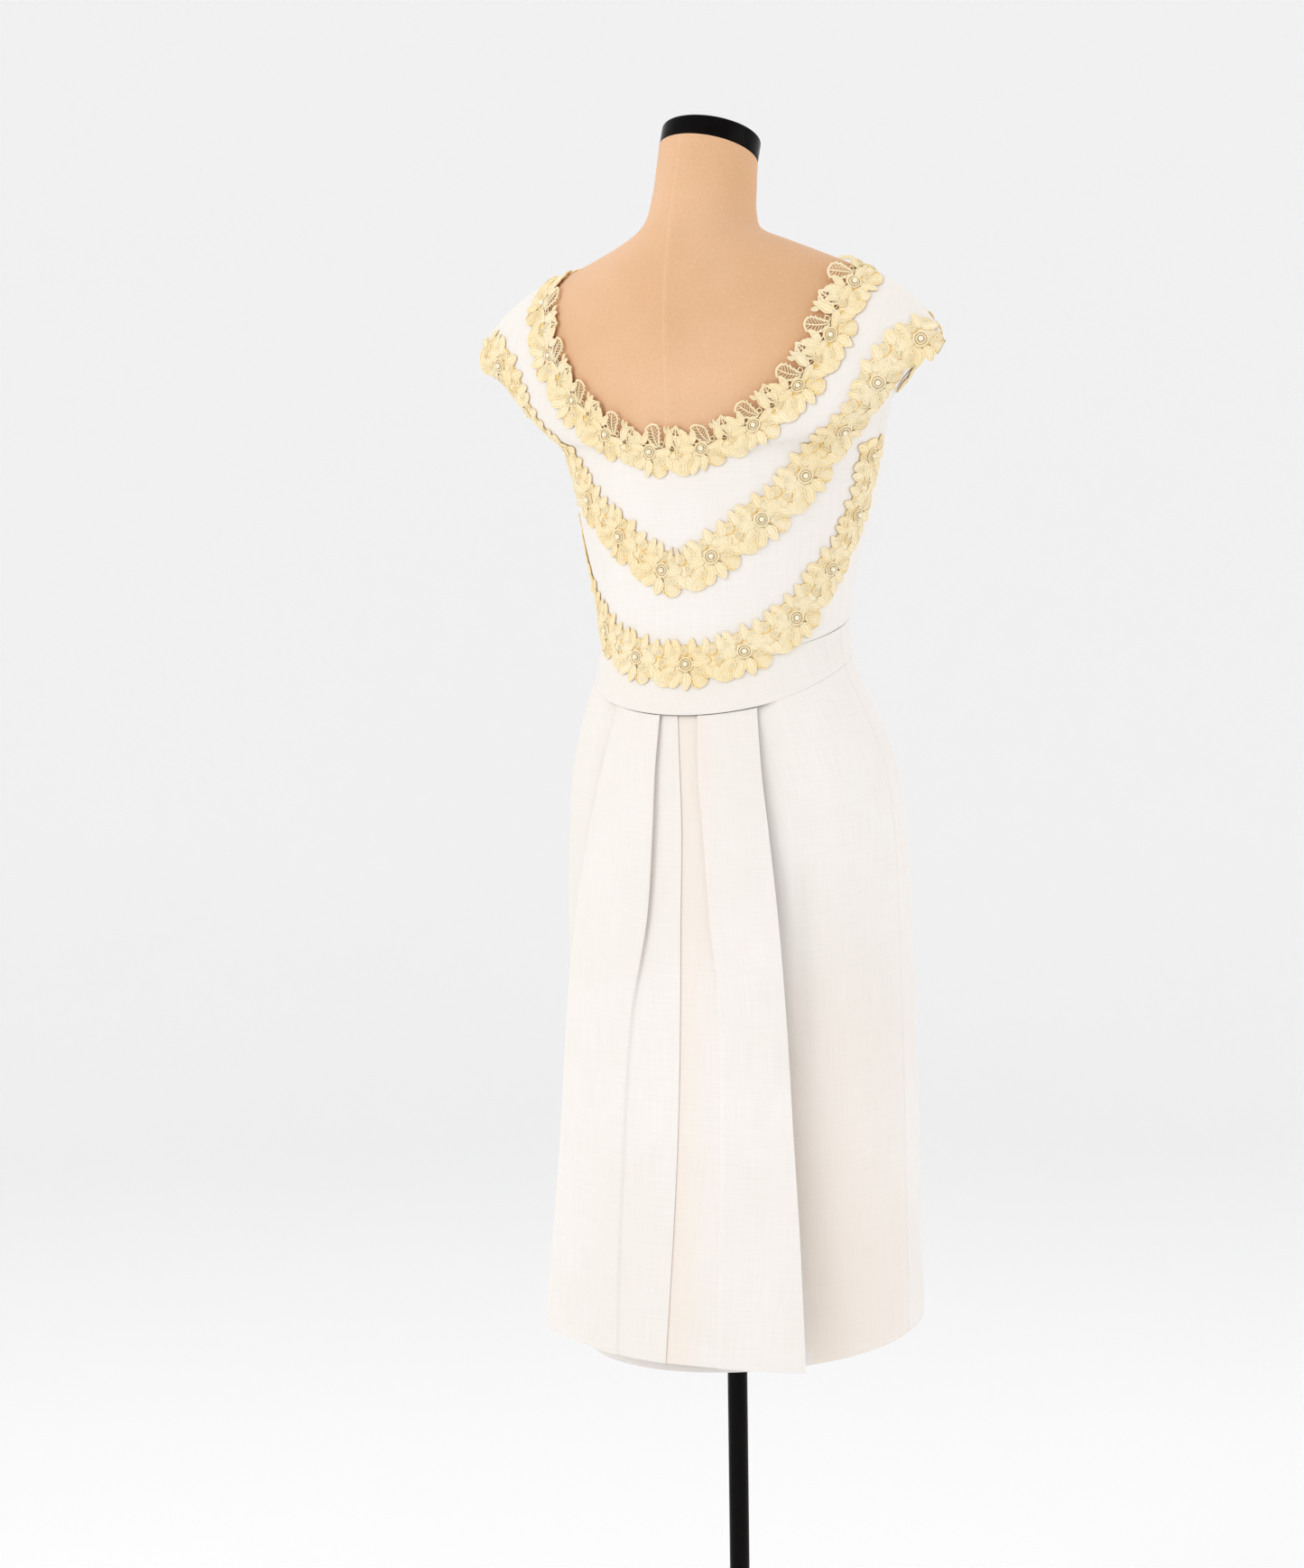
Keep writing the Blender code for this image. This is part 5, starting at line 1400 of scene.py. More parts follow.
# %% Row of repeats
def new_tree(name, inputs):
    """An empty Geometry Nodes tree with its named inputs and one geometry output."""
    tree = bpy.data.node_groups.new(name, "GeometryNodeTree")
    tree.interface.new_socket("Geometry", in_out="INPUT", socket_type="NodeSocketGeometry")
    for label, kind in inputs.items():
        tree.interface.new_socket(label, in_out="INPUT", socket_type=kind)
    tree.interface.new_socket("Geometry", in_out="OUTPUT", socket_type="NodeSocketGeometry")
    return tree


def tree_node(tree, kind, settings=None, values=None):
    """Add a node to a tree; a value is a plain value or another node's output."""
    node = tree.nodes.new(kind)
    for setting, value in (settings or {}).items():
        setattr(node, setting, value)
    for socket, value in (values or {}).items():
        if isinstance(value, bpy.types.NodeSocket):
            tree.links.new(value, node.inputs[socket])
        else:
            node.inputs[socket].default_value = value
    return node


def hand_out(tree, asked, placing):
    """End a tree: its instances on their points become real, smooth and coloured."""
    placed = tree_node(tree, "GeometryNodeInstanceOnPoints", None, placing)
    real = tree_node(tree, "GeometryNodeRealizeInstances", None, {"Geometry": placed.outputs[0]})
    rounded_off = tree_node(tree, "GeometryNodeSetShadeSmooth", None, {"Geometry": real.outputs[0]})
    coloured = tree_node(tree, "GeometryNodeSetMaterial", None,
                         {"Geometry": rounded_off.outputs[0], "Material": asked.outputs["Material"]})
    tree_node(tree, "NodeGroupOutput", None, {"Geometry": coloured.outputs[0]})


def grown(name, tree, mesh, values):
    """The mesh that a tree makes from a mesh, as a plain mesh; values are set by the inputs' names."""
    carrier = add_piece(name, mesh)
    modifier = carrier.modifiers.new("grow", "NODES")
    modifier.node_group = tree
    for item in tree.interface.items_tree:
        if item.in_out == "INPUT" and item.name in values:
            modifier[item.identifier] = values[item.name]
    shown = carrier.evaluated_get(bpy.context.evaluated_depsgraph_get())
    made = bpy.data.meshes.new_from_object(shown)
    bpy.data.objects.remove(carrier)
    return made


row_tree = new_tree("row_of_repeats", {
    "Repeat": "NodeSocketObject", "Count": "NodeSocketInt", "Spacing": "NodeSocketFloat",
    "Material": "NodeSocketMaterial",
})
asked = tree_node(row_tree, "NodeGroupInput")
offset = tree_node(row_tree, "ShaderNodeCombineXYZ", None, {"X": asked.outputs["Spacing"]})
line = tree_node(row_tree, "GeometryNodeMeshLine", None,
                 {"Count": asked.outputs["Count"], "Offset": offset.outputs[0]})
repeat_info = tree_node(row_tree, "GeometryNodeObjectInfo", None, {"Object": asked.outputs["Repeat"]})
hand_out(row_tree, asked, {"Points": line.outputs[0], "Instance": repeat_info.outputs["Geometry"]})
print("row tree nodes:", len(row_tree.nodes))

# %% [markdown]
# ## Laying the bands on the dress
#
# A flat row is bent onto the dress in two steps. First a fine net of places is laid along the band's
# middle line: each place is carried sideways from it and brought down onto the cloth. Where the band is
# wider than the cap sleeve under it, it stands over the edge by a few millimetres, as the real one does. At
# the neckline the net's inner half lies over the bare form, a little off it.

# %% Band net
BAND_HALF = 25.5 * MM
NET_ALONG = 2.0 * MM
NET_ACROSS = 27
LAY_GAP = 0.5 * MM
FREE_LIFT = 2.3 * MM
CAP_OVERHANG = 7.0 * MM
FORM_BLEND = 3.0 * MM
NET_MARGIN = 16 * MM
NET_SOFTENING = 4
NORMAL_SOFTENING = 24
LIFT_REACH = 4.0 * MM
LEAST_FACING = 0.4
BandPoint = namedtuple("BandPoint", "name x y z")
V_BAND = table(BandPoint, [
    ("centre", 0.000, 0.098, 1.1556),
    ("inner", 0.062, 0.092, 1.1885),
    ("blade", 0.108, 0.080, 1.2230),
    ("armhole", 0.1415, 0.068, 1.2600),
    ("sleeve_low", 0.1720, 0.0620, 1.3025),
    ("sleeve", 0.1875, 0.0612, 1.3265),
    ("sleeve_middle", 0.2030, 0.0595, 1.3450),
    ("sleeve_high", 0.2170, 0.052, 1.3540),
    ("tip", 0.2270, 0.0385, 1.3620),
])
SLEEVE_FRONT_BAND = table(BandPoint, [
    ("tip", 0.2260, 0.0360, 1.3640),
    ("sleeve_high", 0.2120, 0.006, 1.3640),
    ("sleeve_middle", 0.1955, -0.014, 1.3540),
    ("sleeve", 0.1790, -0.026, 1.3400),
    ("sleeve_low", 0.1630, -0.032, 1.3190),
])
LOW_BAND = table(BandPoint, [
    ("centre", 0.000, 0.093, 1.0740),
    ("inner", 0.054, 0.083, 1.0838),
    ("side_back", 0.0985, 0.057, 1.1128),
    ("side", 0.1150, 0.032, 1.1515),
    ("ribs", 0.1335, 0.014, 1.1926),
    ("chest", 0.1450, 0.010, 1.2350),
    ("underarm", 0.1540, 0.012, 1.2730),
])


def mirrored_path(table):
    """Points of a band from the wearer's right to the left through the centre."""
    half = np.array([row[1:] for row in table])
    return np.vstack([half[:0:-1] * (-1, 1, 1), half])


def nearest(tree, point):
    place, normal, _, _ = tree.find_nearest(Vector(point))
    return np.array(place), np.array(normal)


def net_normals(net, tree):
    """The way off the cloth at each place of a net, with one sign for the whole of it."""
    normals = unit(np.cross(np.gradient(net, axis=0), np.gradient(net, axis=1)))
    row, column = net.shape[0] // 2, net.shape[1] // 2
    _, away = nearest(tree, net[row, column])
    return normals * np.sign(normals[row, column] @ away)


def lifted(points, away, tree, clearance):
    """Points raised the band's own way off the cloth that they face, where they would lie in it."""
    moved = points.reshape(-1, 3).copy()
    for index, outward in enumerate(away.reshape(-1, 3)):
        surface, normal, _, distance = tree.find_nearest(Vector(moved[index]))
        facing = float(normal @ Vector(outward))
        height = (Vector(moved[index]) - surface) @ normal
        if distance < LIFT_REACH and facing > LEAST_FACING and height < clearance:
            moved[index] += outward * (clearance - height) / facing
    return moved.reshape(points.shape)


def net_row(place, inward, tree, over_form, overhang):
    """Places across a band, carried sideways from its middle and brought down onto the cloth."""
    row = []
    for offset in np.linspace(-BAND_HALF, BAND_HALF, NET_ACROSS):
        aim = place + inward * offset
        on_cloth, away = nearest(tree, aim)
        beyond = aim - on_cloth
        beyond = beyond - away * (beyond @ away)
        part = min(1.0, overhang / max(np.linalg.norm(beyond), 1e-9))
        spot = on_cloth + away * LAY_GAP + beyond * part
        if over_form and offset > -FORM_BLEND:
            on_form, form_away = nearest(body_tree, aim)
            on_form = on_form + form_away * (FREE_LIFT + LAY_GAP)
            spot = mix(spot, on_form, float(step(-FORM_BLEND, FORM_BLEND, offset)))
        row.append(spot)
    return np.array(row)


def path_net(path, tree, over_form=False, closed=False, overhang=0.0):
    """Net of places along a path on the cloth, their distances along it, and the length of the path."""
    path = np.array([nearest(tree, point)[0] for point in path])
    if closed:
        path = np.vstack([path[-4:-1], path, path[1:4]])
    lengths = np.concatenate([[0], np.cumsum(np.linalg.norm(np.diff(path, axis=0), axis=1))])
    start, end = (lengths[3], lengths[-4]) if closed else (0.0, lengths[-1])
    margin = NET_MARGIN if closed else 0.0
    distances = np.linspace(start - margin, end + margin, round((end - start + 2 * margin) / NET_ALONG))
    middle = smooth(lengths, path, distances)
    tangents = unit(np.gradient(middle, axis=0))
    normals = np.array([nearest(tree, spot)[1] for spot in middle])
    for _ in range(NORMAL_SOFTENING):
        normals[1:-1] = unit(normals[:-2] + 2 * normals[1:-1] + normals[2:])
    inward = unit(np.cross(normals, tangents))
    inward = inward * np.sign(inward[:, 2].sum())
    net = np.array([net_row(spot, aside, tree, over_form, overhang) for spot, aside in zip(middle, inward)])
    for _ in range(NET_SOFTENING):
        net = softened(net, 1, pinned_edges=False)
        net = lifted(net, net_normals(net, tree), tree, LAY_GAP)
    if not closed:
        along = distances[1] - distances[0]
        beyond = np.arange(1, round(NET_MARGIN / along) + 1)[:, None, None] * along
        ahead, behind = unit(net[0] - net[2]), unit(net[-1] - net[-3])
        net = np.concatenate([net[:1] + ahead * beyond[::-1], net, net[-1:] + behind * beyond])
        distances = distances[0] + along * (np.arange(len(net)) - len(beyond))
    return net, distances - start, end - start


def looked_up(grid, distances, along, across):
    """Values of a net at distances along and across the band, between its own points."""
    row = np.clip((along - distances[0]) / (distances[1] - distances[0]), 0, len(distances) - 1.001)
    column = np.clip((across + BAND_HALF) / (2 * BAND_HALF) * (NET_ACROSS - 1), 0, NET_ACROSS - 1.001)
    low_row, low_column = row.astype(int), column.astype(int)
    up, aside = (row - low_row)[:, None], (column - low_column)[:, None]
    near = mix(grid[low_row, low_column], grid[low_row, low_column + 1], aside)
    far = mix(grid[low_row + 1, low_column], grid[low_row + 1, low_column + 1], aside)
    return mix(near, far, up)


print("band:", round(2 * BAND_HALF / MM, 1), "mm wide,", NET_ACROSS, "places across")

# %% [markdown]
# ## From the flat row to the band
#
# Each point of the flat row looks up its place in the net and stands off it by its own height. The row's
# scale lets a whole number of repeats fit, and its phase puts one pearl where the photograph shows it. The
# band is then cut between motifs into pieces, and each into its ground of pads and its cords.

# %% Bend a row of lace onto its net
REPEAT_LENGTH = LACE_REPEAT * MM
PEARL_ALONG = 26.0 * MM
PEARL_ACROSS = -0.6 * MM
PEARL_HEIGHT = 2.7 * MM
THREAD_CLEARANCE = 0.15 * MM
FREE_EDGE = 18 * MM
LacePiece = namedtuple("LacePiece", "ground cords length")
pearl_places = {}


def marked(mesh, mark):
    """The values of a mesh's own mark, one for each point."""
    values = np.zeros(len(mesh.vertices), np.float32)
    mesh.attributes[mark].data.foreach_get("value", values)
    return values


def kept_part(mesh, name, kept):
    """A copy of a mesh with only the kept points."""
    part = mesh.copy()
    part.name = name + "_mesh"
    cut = bmesh.new()
    cut.from_mesh(part)
    cut.verts.ensure_lookup_table()
    bmesh.ops.delete(cut, geom=[cut.verts[index] for index in np.flatnonzero(~kept)], context="VERTS")
    cut.to_mesh(part)
    cut.free()
    part.shade_smooth()
    return part


def fitted_row(net, distances, length, pearl_at):
    """How many repeats fill a band, their scale, and where the first starts for a pearl to sit right."""
    middle = net[:, NET_ACROSS // 2]
    inside = (distances >= 0) & (distances <= length)
    pearl_distance = distances[inside][np.argmin(np.linalg.norm(middle[inside] - pearl_at, axis=1))]
    count = max(1, round(length / REPEAT_LENGTH))
    scale = length / count / REPEAT_LENGTH
    spacing = REPEAT_LENGTH * scale
    return count, scale, (pearl_distance - PEARL_ALONG * scale) % spacing - spacing


def lace_band(name, kind, path, tree, pearl_at, over_form=False, closed=False, lifts=(), trim=0.0,
              parts=None, overhang=0.0):
    """A band of lace on the cloth: a row of repeats, cut to length, bent along the path.

    parts gives the name of each piece with the shares of the band where it starts and ends. Each piece is
    a ground of pads with its cords beside it.
    """
    net, distances, length = path_net(path, tree, over_form, closed, overhang)
    normals = net_normals(net, tree)
    count, scale, first = fitted_row(net, distances, length, pearl_at)
    row_count = count + (1 if closed else 2)
    values = {"Repeat": repeat_objects[kind], "Count": row_count, "Spacing": REPEAT_LENGTH,
              "Material": finishes["lace"]}
    mesh = grown(name, row_tree, bpy.data.meshes.new(name), values)
    points = np.zeros(len(mesh.vertices) * 3)
    mesh.vertices.foreach_get("co", points)
    points = points.reshape(-1, 3)
    along = points[:, 0] * scale + first
    centre = (points[:, 0] + marked(mesh, "to_middle")) * scale + first
    corded = marked(mesh, "corded") > 0.5
    if closed:
        along = np.where(along < distances[0], along + length, along)
    height = points[:, 2:3]
    spots = looked_up(net, distances, along, points[:, 1])
    away = unit(looked_up(normals, distances, along, points[:, 1]))
    for lift in lifts:
        near = np.exp(-(np.linalg.norm(spots - lift[1:4], axis=1) / lift.reach) ** 2)
        raised = step(0.0, FREE_EDGE, points[:, 1]) * near * lift.rise
        height = height + raised[:, None]
    laid = lifted(spots + away * height, away, tree, THREAD_CLEARANCE)
    mesh.vertices.foreach_set("co", laid.ravel())
    pieces = []
    for part_name, (start, end) in (parts or {name: (0.0, 1.0)}).items():
        kept = (centre >= max(start * length, trim)) & (centre < min(end * length, length - trim))
        ground = add_piece(part_name, kept_part(mesh, part_name, kept & ~corded))
        cords = add_piece(part_name + "_cords", kept_part(mesh, part_name + "_cords", kept & corded))
        pieces.append(LacePiece(ground, cords, (end - start) * length))
    pearls = []
    for number in range(row_count):
        distance = (number * REPEAT_LENGTH + PEARL_ALONG) * scale + first
        if trim <= distance < length - trim:
            spot = looked_up(net, distances, np.array([distance]), np.array([PEARL_ACROSS]))[0]
            off = unit(looked_up(normals, distances, np.array([distance]), np.array([PEARL_ACROSS])))[0]
            pearls.append(spot + off * PEARL_HEIGHT)
    pearl_places[name] = pearls
    print(name, "length", round(length, 3), "repeats", count, "pearls", len(pearls))
    return pieces


repeat_objects = {}
for name, mesh in lace_repeats.items():
    repeat_objects[name] = bpy.data.objects.new("repeat_" + name, mesh)
print("repeats to lay:", list(repeat_objects))

# %% [markdown]
# ## Yellow thread
#
# The lace is butter yellow thread. Its colour holds painted light and shade: paler on top of the cords and
# deeper down in the gaps and under them. The mark called `tone` gives that, and a wave along the UV map
# `thread` draws the single stitches.

# %% Lace finish
STITCH = 0.62
LACE_RELIEF = 0.16 * MM
LACE_TOP_COLOURS = ((0.988, 0.824, 0.505, 1.0), (0.998, 0.876, 0.610, 1.0))
LACE_PAINTED_SHADE_COLOUR = (0.945, 0.665, 0.235, 1.0)
LACE_PAINTED_TOP_LIGHT_COLOUR = (1.000, 0.925, 0.740, 1.0)
LACE_DULL_COLOUR = (0.940, 0.735, 0.370, 1.0)


def lace_finish():
    finish = Finish("corded_lace", {"Sheen Weight": 0.2, "Sheen Roughness": 0.4,
                                    "Specular IOR Level": 0.35})
    tone = finish.mark("tone")
    along, _ = finish.grain("thread")
    threads = along.wave(STITCH) * 0.5 + 0.5
    uneven = finish.noise(finish.place(), 420.0, 2.0, 0.6)
    patchy = finish.noise(finish.place(), 26.0, 3.0)
    top = finish.blend(patchy.between(0.35, 0.65), *LACE_TOP_COLOURS)
    # painted shade: where the tone is low, in the gaps and under the cords, the colour turns to the shade
    # colour
    deep = finish.blend(tone.between(0.05, 0.72), LACE_PAINTED_SHADE_COLOUR, top)
    # the stitch lines are real thread; they turn paler with painted light as the tone rises to the tops
    paler_threads = finish.blend(threads * 0.26 * tone, deep, LACE_PAINTED_TOP_LIGHT_COLOUR)
    dull = finish.blend((uneven - 0.52) * 0.7, paler_threads, LACE_DULL_COLOUR)
    bump = finish.bump(threads * 0.7 + uneven * 0.8, LACE_RELIEF, 0.8)
    return finish.feed(Base_Color=dull, Roughness=0.66 + uneven * 0.2, Normal=bump)


finishes["lace"] = lace_finish()
print("finishes:", list(finishes))

# %% [markdown]
# ## The five bands
#
# One band goes round the whole neckline. The second dips at the centre back and runs on to the cap sleeves,
# where a short band follows the front of each edge. The third lies over the waist seam and climbs the side
# seams. Each band's ground stands for its plain solid in the frame.

# %% Lay the bands
NECKLINE_START = {1.0: 1.2605, -1.0: 1.3185}
NECKLINE_POINTS = 14
LOW_BAND_TRIM = 5.0 * MM


def neckline_path(halves, facing):
    """Neckline of one panel from its shoulder on the wearer's right round to the left one."""
    left, right = halves
    first = int(np.argmax(left[:, 0, 2] > NECKLINE_START[facing]))
    rows = np.unique(np.linspace(first, len(left) - 1, NECKLINE_POINTS).round().astype(int))
    return np.vstack([right[rows[::-1], 0], left[rows, 0]])


def path_length(path):
    return float(np.linalg.norm(np.diff(path, axis=0), axis=1).sum())


back_path = neckline_path(back_halves, 1.0)
front_path = neckline_path(front_halves, -1.0)
dress_tree = tree_of(*back_halves, *front_halves, *band_grids.values())
neck_path = np.vstack([back_path, front_path[-2:0:-1], back_path[:1]])
back_share = path_length(back_path) / path_length(neck_path)
print("neckline", round(path_length(neck_path), 3), "of it behind", round(back_share, 3))
# Places where the free edge of the neckline lace stands up
NeckLift = namedtuple("NeckLift", "name x y z reach rise")
NECK_LIFTS = table(NeckLift, [
    ("right_shoulder", -0.128, 0.034, 1.425, 0.028, 6.0 * MM),
    ("left_of_middle", 0.075, 0.095, 1.300, 0.030, 1.2 * MM),
    ("right_of_middle", -0.060, 0.090, 1.290, 0.020, 1.0 * MM),
])
neck_parts = {"lace_neckline_back": (0.0, back_share), "lace_neckline_front": (back_share, 1.0)}
neck_pieces = lace_band("lace_neckline", "open", neck_path, dress_tree, (0.0192, 0.099, 1.2601), True, True,
                        NECK_LIFTS, parts=neck_parts)
v_pieces = lace_band("lace_v_band", "dense", mirrored_path(V_BAND), dress_tree, (0.0131, 0.098, 1.1588),
                     overhang=CAP_OVERHANG)
low_pieces = lace_band("lace_low_band", "dense", mirrored_path(LOW_BAND), dress_tree,
                       (-0.0095, 0.093, 1.0748), trim=LOW_BAND_TRIM)
lace_nodes = [
    ("lace_neck_back", neck_pieces[0], ["bodice_back"]),
    ("lace_neck_front", neck_pieces[1], ["bodice_front"]),
    ("lace_v_back", v_pieces[0], ["bodice_back"]),
    ("lace_waist_back", low_pieces[0], ["bodice_back", "waistband_back"]),
]
for side, hand in (("left", 1), ("right", -1)):
    cap_path = np.array([row[1:] for row in SLEEVE_FRONT_BAND]) * (hand, 1, 1)
    cap_pieces = lace_band("lace_cap_" + side, "dense", cap_path, dress_tree, cap_path[2],
                           overhang=CAP_OVERHANG)
    lace_nodes.append(("lace_sleeve_" + side, cap_pieces[0], ["bodice_front"]))
for node, lace, carriers in lace_nodes:
    settle(lace.ground, "lace", node)
    settle(lace.cords, "lace")
    [name + "_cloth" for name in carriers]
for carrier in repeat_objects.values():
    bpy.data.objects.remove(carrier)

# %% [markdown]
# ## Pearls
#
# A pearl bead sits in each ring of the lace. The tree puts a small sphere on each point of a mesh that has
# only points, and gives each its own size within a few percent, from a fixed seed.

# %% Pearls
PEARL_RADIUS = 2.4 * MM
PEARL_UNEVENNESS = 0.06
PEARL_SEED = 7
PEARL_COLOURS = ((0.93, 0.85, 0.64, 1.0), (0.97, 0.91, 0.76, 1.0))
PEARL_PAINTED_RIM_SHADE_COLOUR = (0.80, 0.64, 0.36, 1.0)


def pearl_finish():
    finish = Finish("pearl", {"Coat Weight": 0.6, "Coat Roughness": 0.12, "Specular IOR Level": 0.55})
    place = finish.place()
    cloudy = finish.noise(place, 300.0, 3.0, 0.55)
    # painted rim shade: a darker colour towards the pearl's outline, by the angle of view (Layer Weight,
    # Facing)
    facing = finish.node("LayerWeight", None, {"Blend": 0.35}, "Facing")
    body = finish.blend(cloudy.between(0.35, 0.65), *PEARL_COLOURS)
    # painted rim shade blended in where the surface turns away from the view
    rim = finish.blend(facing * 0.5, body, PEARL_PAINTED_RIM_SHADE_COLOUR)
    return finish.feed(Base_Color=rim, Roughness=0.20 + cloudy * 0.12)


finishes["pearl"] = pearl_finish()
bead_tree = new_tree("pearls_on_points", {
    "Radius": "NodeSocketFloat", "Unevenness": "NodeSocketFloat", "Seed": "NodeSocketInt",
    "Material": "NodeSocketMaterial",
})
asked = tree_node(bead_tree, "NodeGroupInput")
sphere = tree_node(bead_tree, "GeometryNodeMeshUVSphere", None,
                   {"Segments": 20, "Rings": 12, "Radius": asked.outputs["Radius"]})
least = tree_node(bead_tree, "ShaderNodeMath", {"operation": "SUBTRACT"},
                  {0: 1.0, 1: asked.outputs["Unevenness"]})
uneven = tree_node(bead_tree, "FunctionNodeRandomValue", {"data_type": "FLOAT"},
                   {2: least.outputs[0], 3: 1.0, "Seed": asked.outputs["Seed"]})
hand_out(bead_tree, asked, {"Points": asked.outputs["Geometry"], "Instance": sphere.outputs[0],
                            "Scale": uneven.outputs[1]})
places = [place for pearls in pearl_places.values() for place in pearls]
seats = bpy.data.meshes.new("pearl_seats")
seats.from_pydata([tuple(place) for place in places], [], [])
pearl_mesh = grown("pearl_seats", bead_tree, seats, {
    "Radius": PEARL_RADIUS, "Unevenness": PEARL_UNEVENNESS, "Seed": PEARL_SEED,
    "Material": finishes["pearl"]})
pearls = add_piece("pearls", pearl_mesh)
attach(pearls, "root")
report(pearls)

# %% [markdown]
# ## The form and its stand
#
# The form is a closed body: its rings become one mesh with a flat floor inside the skirt and a flat cut
# under the neck plate. The seam down its back is only a mark, the distance from the seam at each point, and
# the jersey finish draws its line from that.

# %% Form
FORM_SEAM_X = 0.004
BACK_OF_FORM_Y = 0.02
FAR_FROM_SEAM = 1.0


def closed_body(name, grid, grain, marks):
    """A closed mesh through rings of points, with flat ends."""
    wrapped = np.concatenate([grid, grid[:, :1]], axis=1)
    mesh = mesh_from_grids(name, [wrapped], [grain], marks)
    body = bmesh.new()
    body.from_mesh(mesh)
    bmesh.ops.remove_doubles(body, verts=body.verts, dist=0.02 * MM)
    ends = [edge for edge in body.edges if edge.is_boundary]
    bmesh.ops.holes_fill(body, edges=ends)
    bmesh.ops.recalc_face_normals(body, faces=body.faces)
    body.to_mesh(mesh)
    body.free()
    mesh.shade_smooth()
    mesh.set_sharp_from_angle(angle=math.radians(45))
    return mesh


wrapped_form = np.concatenate([body_grid, body_grid[:, :1]], axis=1)
on_back = wrapped_form[..., 1] > BACK_OF_FORM_Y
seam_away = np.where(on_back, wrapped_form[..., 0] - FORM_SEAM_X, FAR_FROM_SEAM)
form_mesh = closed_body("form_cover", body_grid, grain_of(wrapped_form), {"seam": [seam_away]})
form_cover = add_piece("form_cover", form_mesh, finishes["form_cloth"])
settle(form_cover, "form_cloth", "form_torso")

# %% [markdown]
# ## Neck plate, pole and base
#
# These are turned parts: an outline whose corners are cut by small arcs, turned round its axis with
# `bmesh`'s spin. The neck plate leans with the top of the neck.

# %% Neck plate, pole and base
POLE_RADIUS = 0.0091
POLE_FLANGE_RADIUS = 0.036
POLE_FLANGE_HEIGHT = 0.005
BASE_RADIUS = 0.150
BASE_HEIGHT = 0.006
HUB_RADIUS = 0.021
HUB_HEIGHT = 0.040
NECK_CAP_RADIUS = 0.0447
NECK_CAP_HEIGHT = 0.0200
TURNED_SIDES = 96


def rounded(profile, radius, segments=4):
    """The outline with each inner corner cut by a short arc; profile runs from the axis to the axis."""
    result = [profile[0]]
    for before, corner, after in zip(profile, profile[1:], profile[2:]):
        corner = np.array(corner)
        sides = np.array([before, after]) - corner
        reach = min(radius, *(np.linalg.norm(sides, axis=1) / 2.1))
        start, end = corner + unit(sides) * reach
        for count in range(segments + 1):
            part = count / segments
            result.append(tuple((1 - part) ** 2 * start + 2 * part * (1 - part) * corner + part ** 2 * end))
    return result + [profile[-1]]


def turned_piece(name, profile, finish, matrix=Matrix.Identity(4)):
    """A closed part turned round the Z axis from an outline of (radius, height), then put in its place."""
    body = bmesh.new()
    corners = [body.verts.new((radius, 0.0, height)) for radius, height in profile]
    edges = [body.edges.new(pair) for pair in zip(corners, corners[1:])]
    bmesh.ops.spin(body, geom=corners + edges, cent=(0, 0, 0), axis=(0, 0, 1), angle=2 * math.pi,
                   steps=TURNED_SIDES)
    bmesh.ops.remove_doubles(body, verts=body.verts, dist=0.01 * MM)
    bmesh.ops.recalc_face_normals(body, faces=body.faces)
    bmesh.ops.transform(body, matrix=matrix, verts=body.verts)
    mesh = bpy.data.meshes.new(name)
    body.to_mesh(mesh)
    body.free()
    mesh.shade_smooth()
    mesh.set_sharp_from_angle(angle=math.radians(40))
    return add_piece(name, mesh, finish)


cap_top = NECK_CAP_HEIGHT
cap_outline = [(0.0, cap_top + 0.6 * MM), (NECK_CAP_RADIUS * 0.55, cap_top + 0.4 * MM),
               (NECK_CAP_RADIUS - 1.5 * MM, cap_top - 0.4 * MM), (NECK_CAP_RADIUS, cap_top - 2.2 * MM),
               (NECK_CAP_RADIUS, 1.2 * MM), (NECK_CAP_RADIUS - 0.8 * MM, 0.0), (0.0, 0.0)]
neck = BODY_RINGS[0]
neck_tilt = math.atan2(neck.back_z - neck.front_z, neck.back_y - neck.front_y)
neck_up = Vector((0.0, -math.sin(neck_tilt), math.cos(neck_tilt)))
neck_middle = Vector((0.0, (neck.back_y + neck.front_y) / 2, (neck.back_z + neck.front_z) / 2))
cap_place = Matrix.Translation(neck_middle + neck_up * SEAM_GAP) @ Matrix.Rotation(neck_tilt, 4, "X")
neck_plate = turned_piece("neck_plate", rounded(cap_outline, 1.2 * MM), finishes["neck_plate"], cap_place)
settle(neck_plate, "neck_plate", "form_neck_cap")

hub_top = BASE_HEIGHT + HUB_HEIGHT
pole_head = BODY_RINGS[-1].side_z - SEAM_GAP
base_outline = [(0.0, hub_top), (HUB_RADIUS, hub_top), (HUB_RADIUS, BASE_HEIGHT + 1.5 * MM),
                (HUB_RADIUS + 5 * MM, BASE_HEIGHT + 0.8 * MM),
                (BASE_RADIUS - 3 * MM, BASE_HEIGHT - 0.4 * MM),
                (BASE_RADIUS, BASE_HEIGHT - 2.6 * MM), (BASE_RADIUS, 0.0), (0.0, 0.0)]
stand_base = turned_piece("stand_base_disc", rounded(base_outline, 1.4 * MM), finishes["stand_metal"])
settle(stand_base, "stand_metal", "stand_base")
flange_low = pole_head - POLE_FLANGE_HEIGHT
pole_outline = [(0.0, pole_head), (POLE_FLANGE_RADIUS, pole_head), (POLE_FLANGE_RADIUS, flange_low),
                (POLE_RADIUS + 2 * MM, flange_low), (POLE_RADIUS, flange_low - 2 * MM),
                (POLE_RADIUS, hub_top + SEAM_GAP), (0.0, hub_top + SEAM_GAP)]
stand_pole = turned_piece("stand_pole_tube", rounded(pole_outline, 0.8 * MM), finishes["stand_metal"])
settle(stand_pole, "stand_metal", "stand_pole")

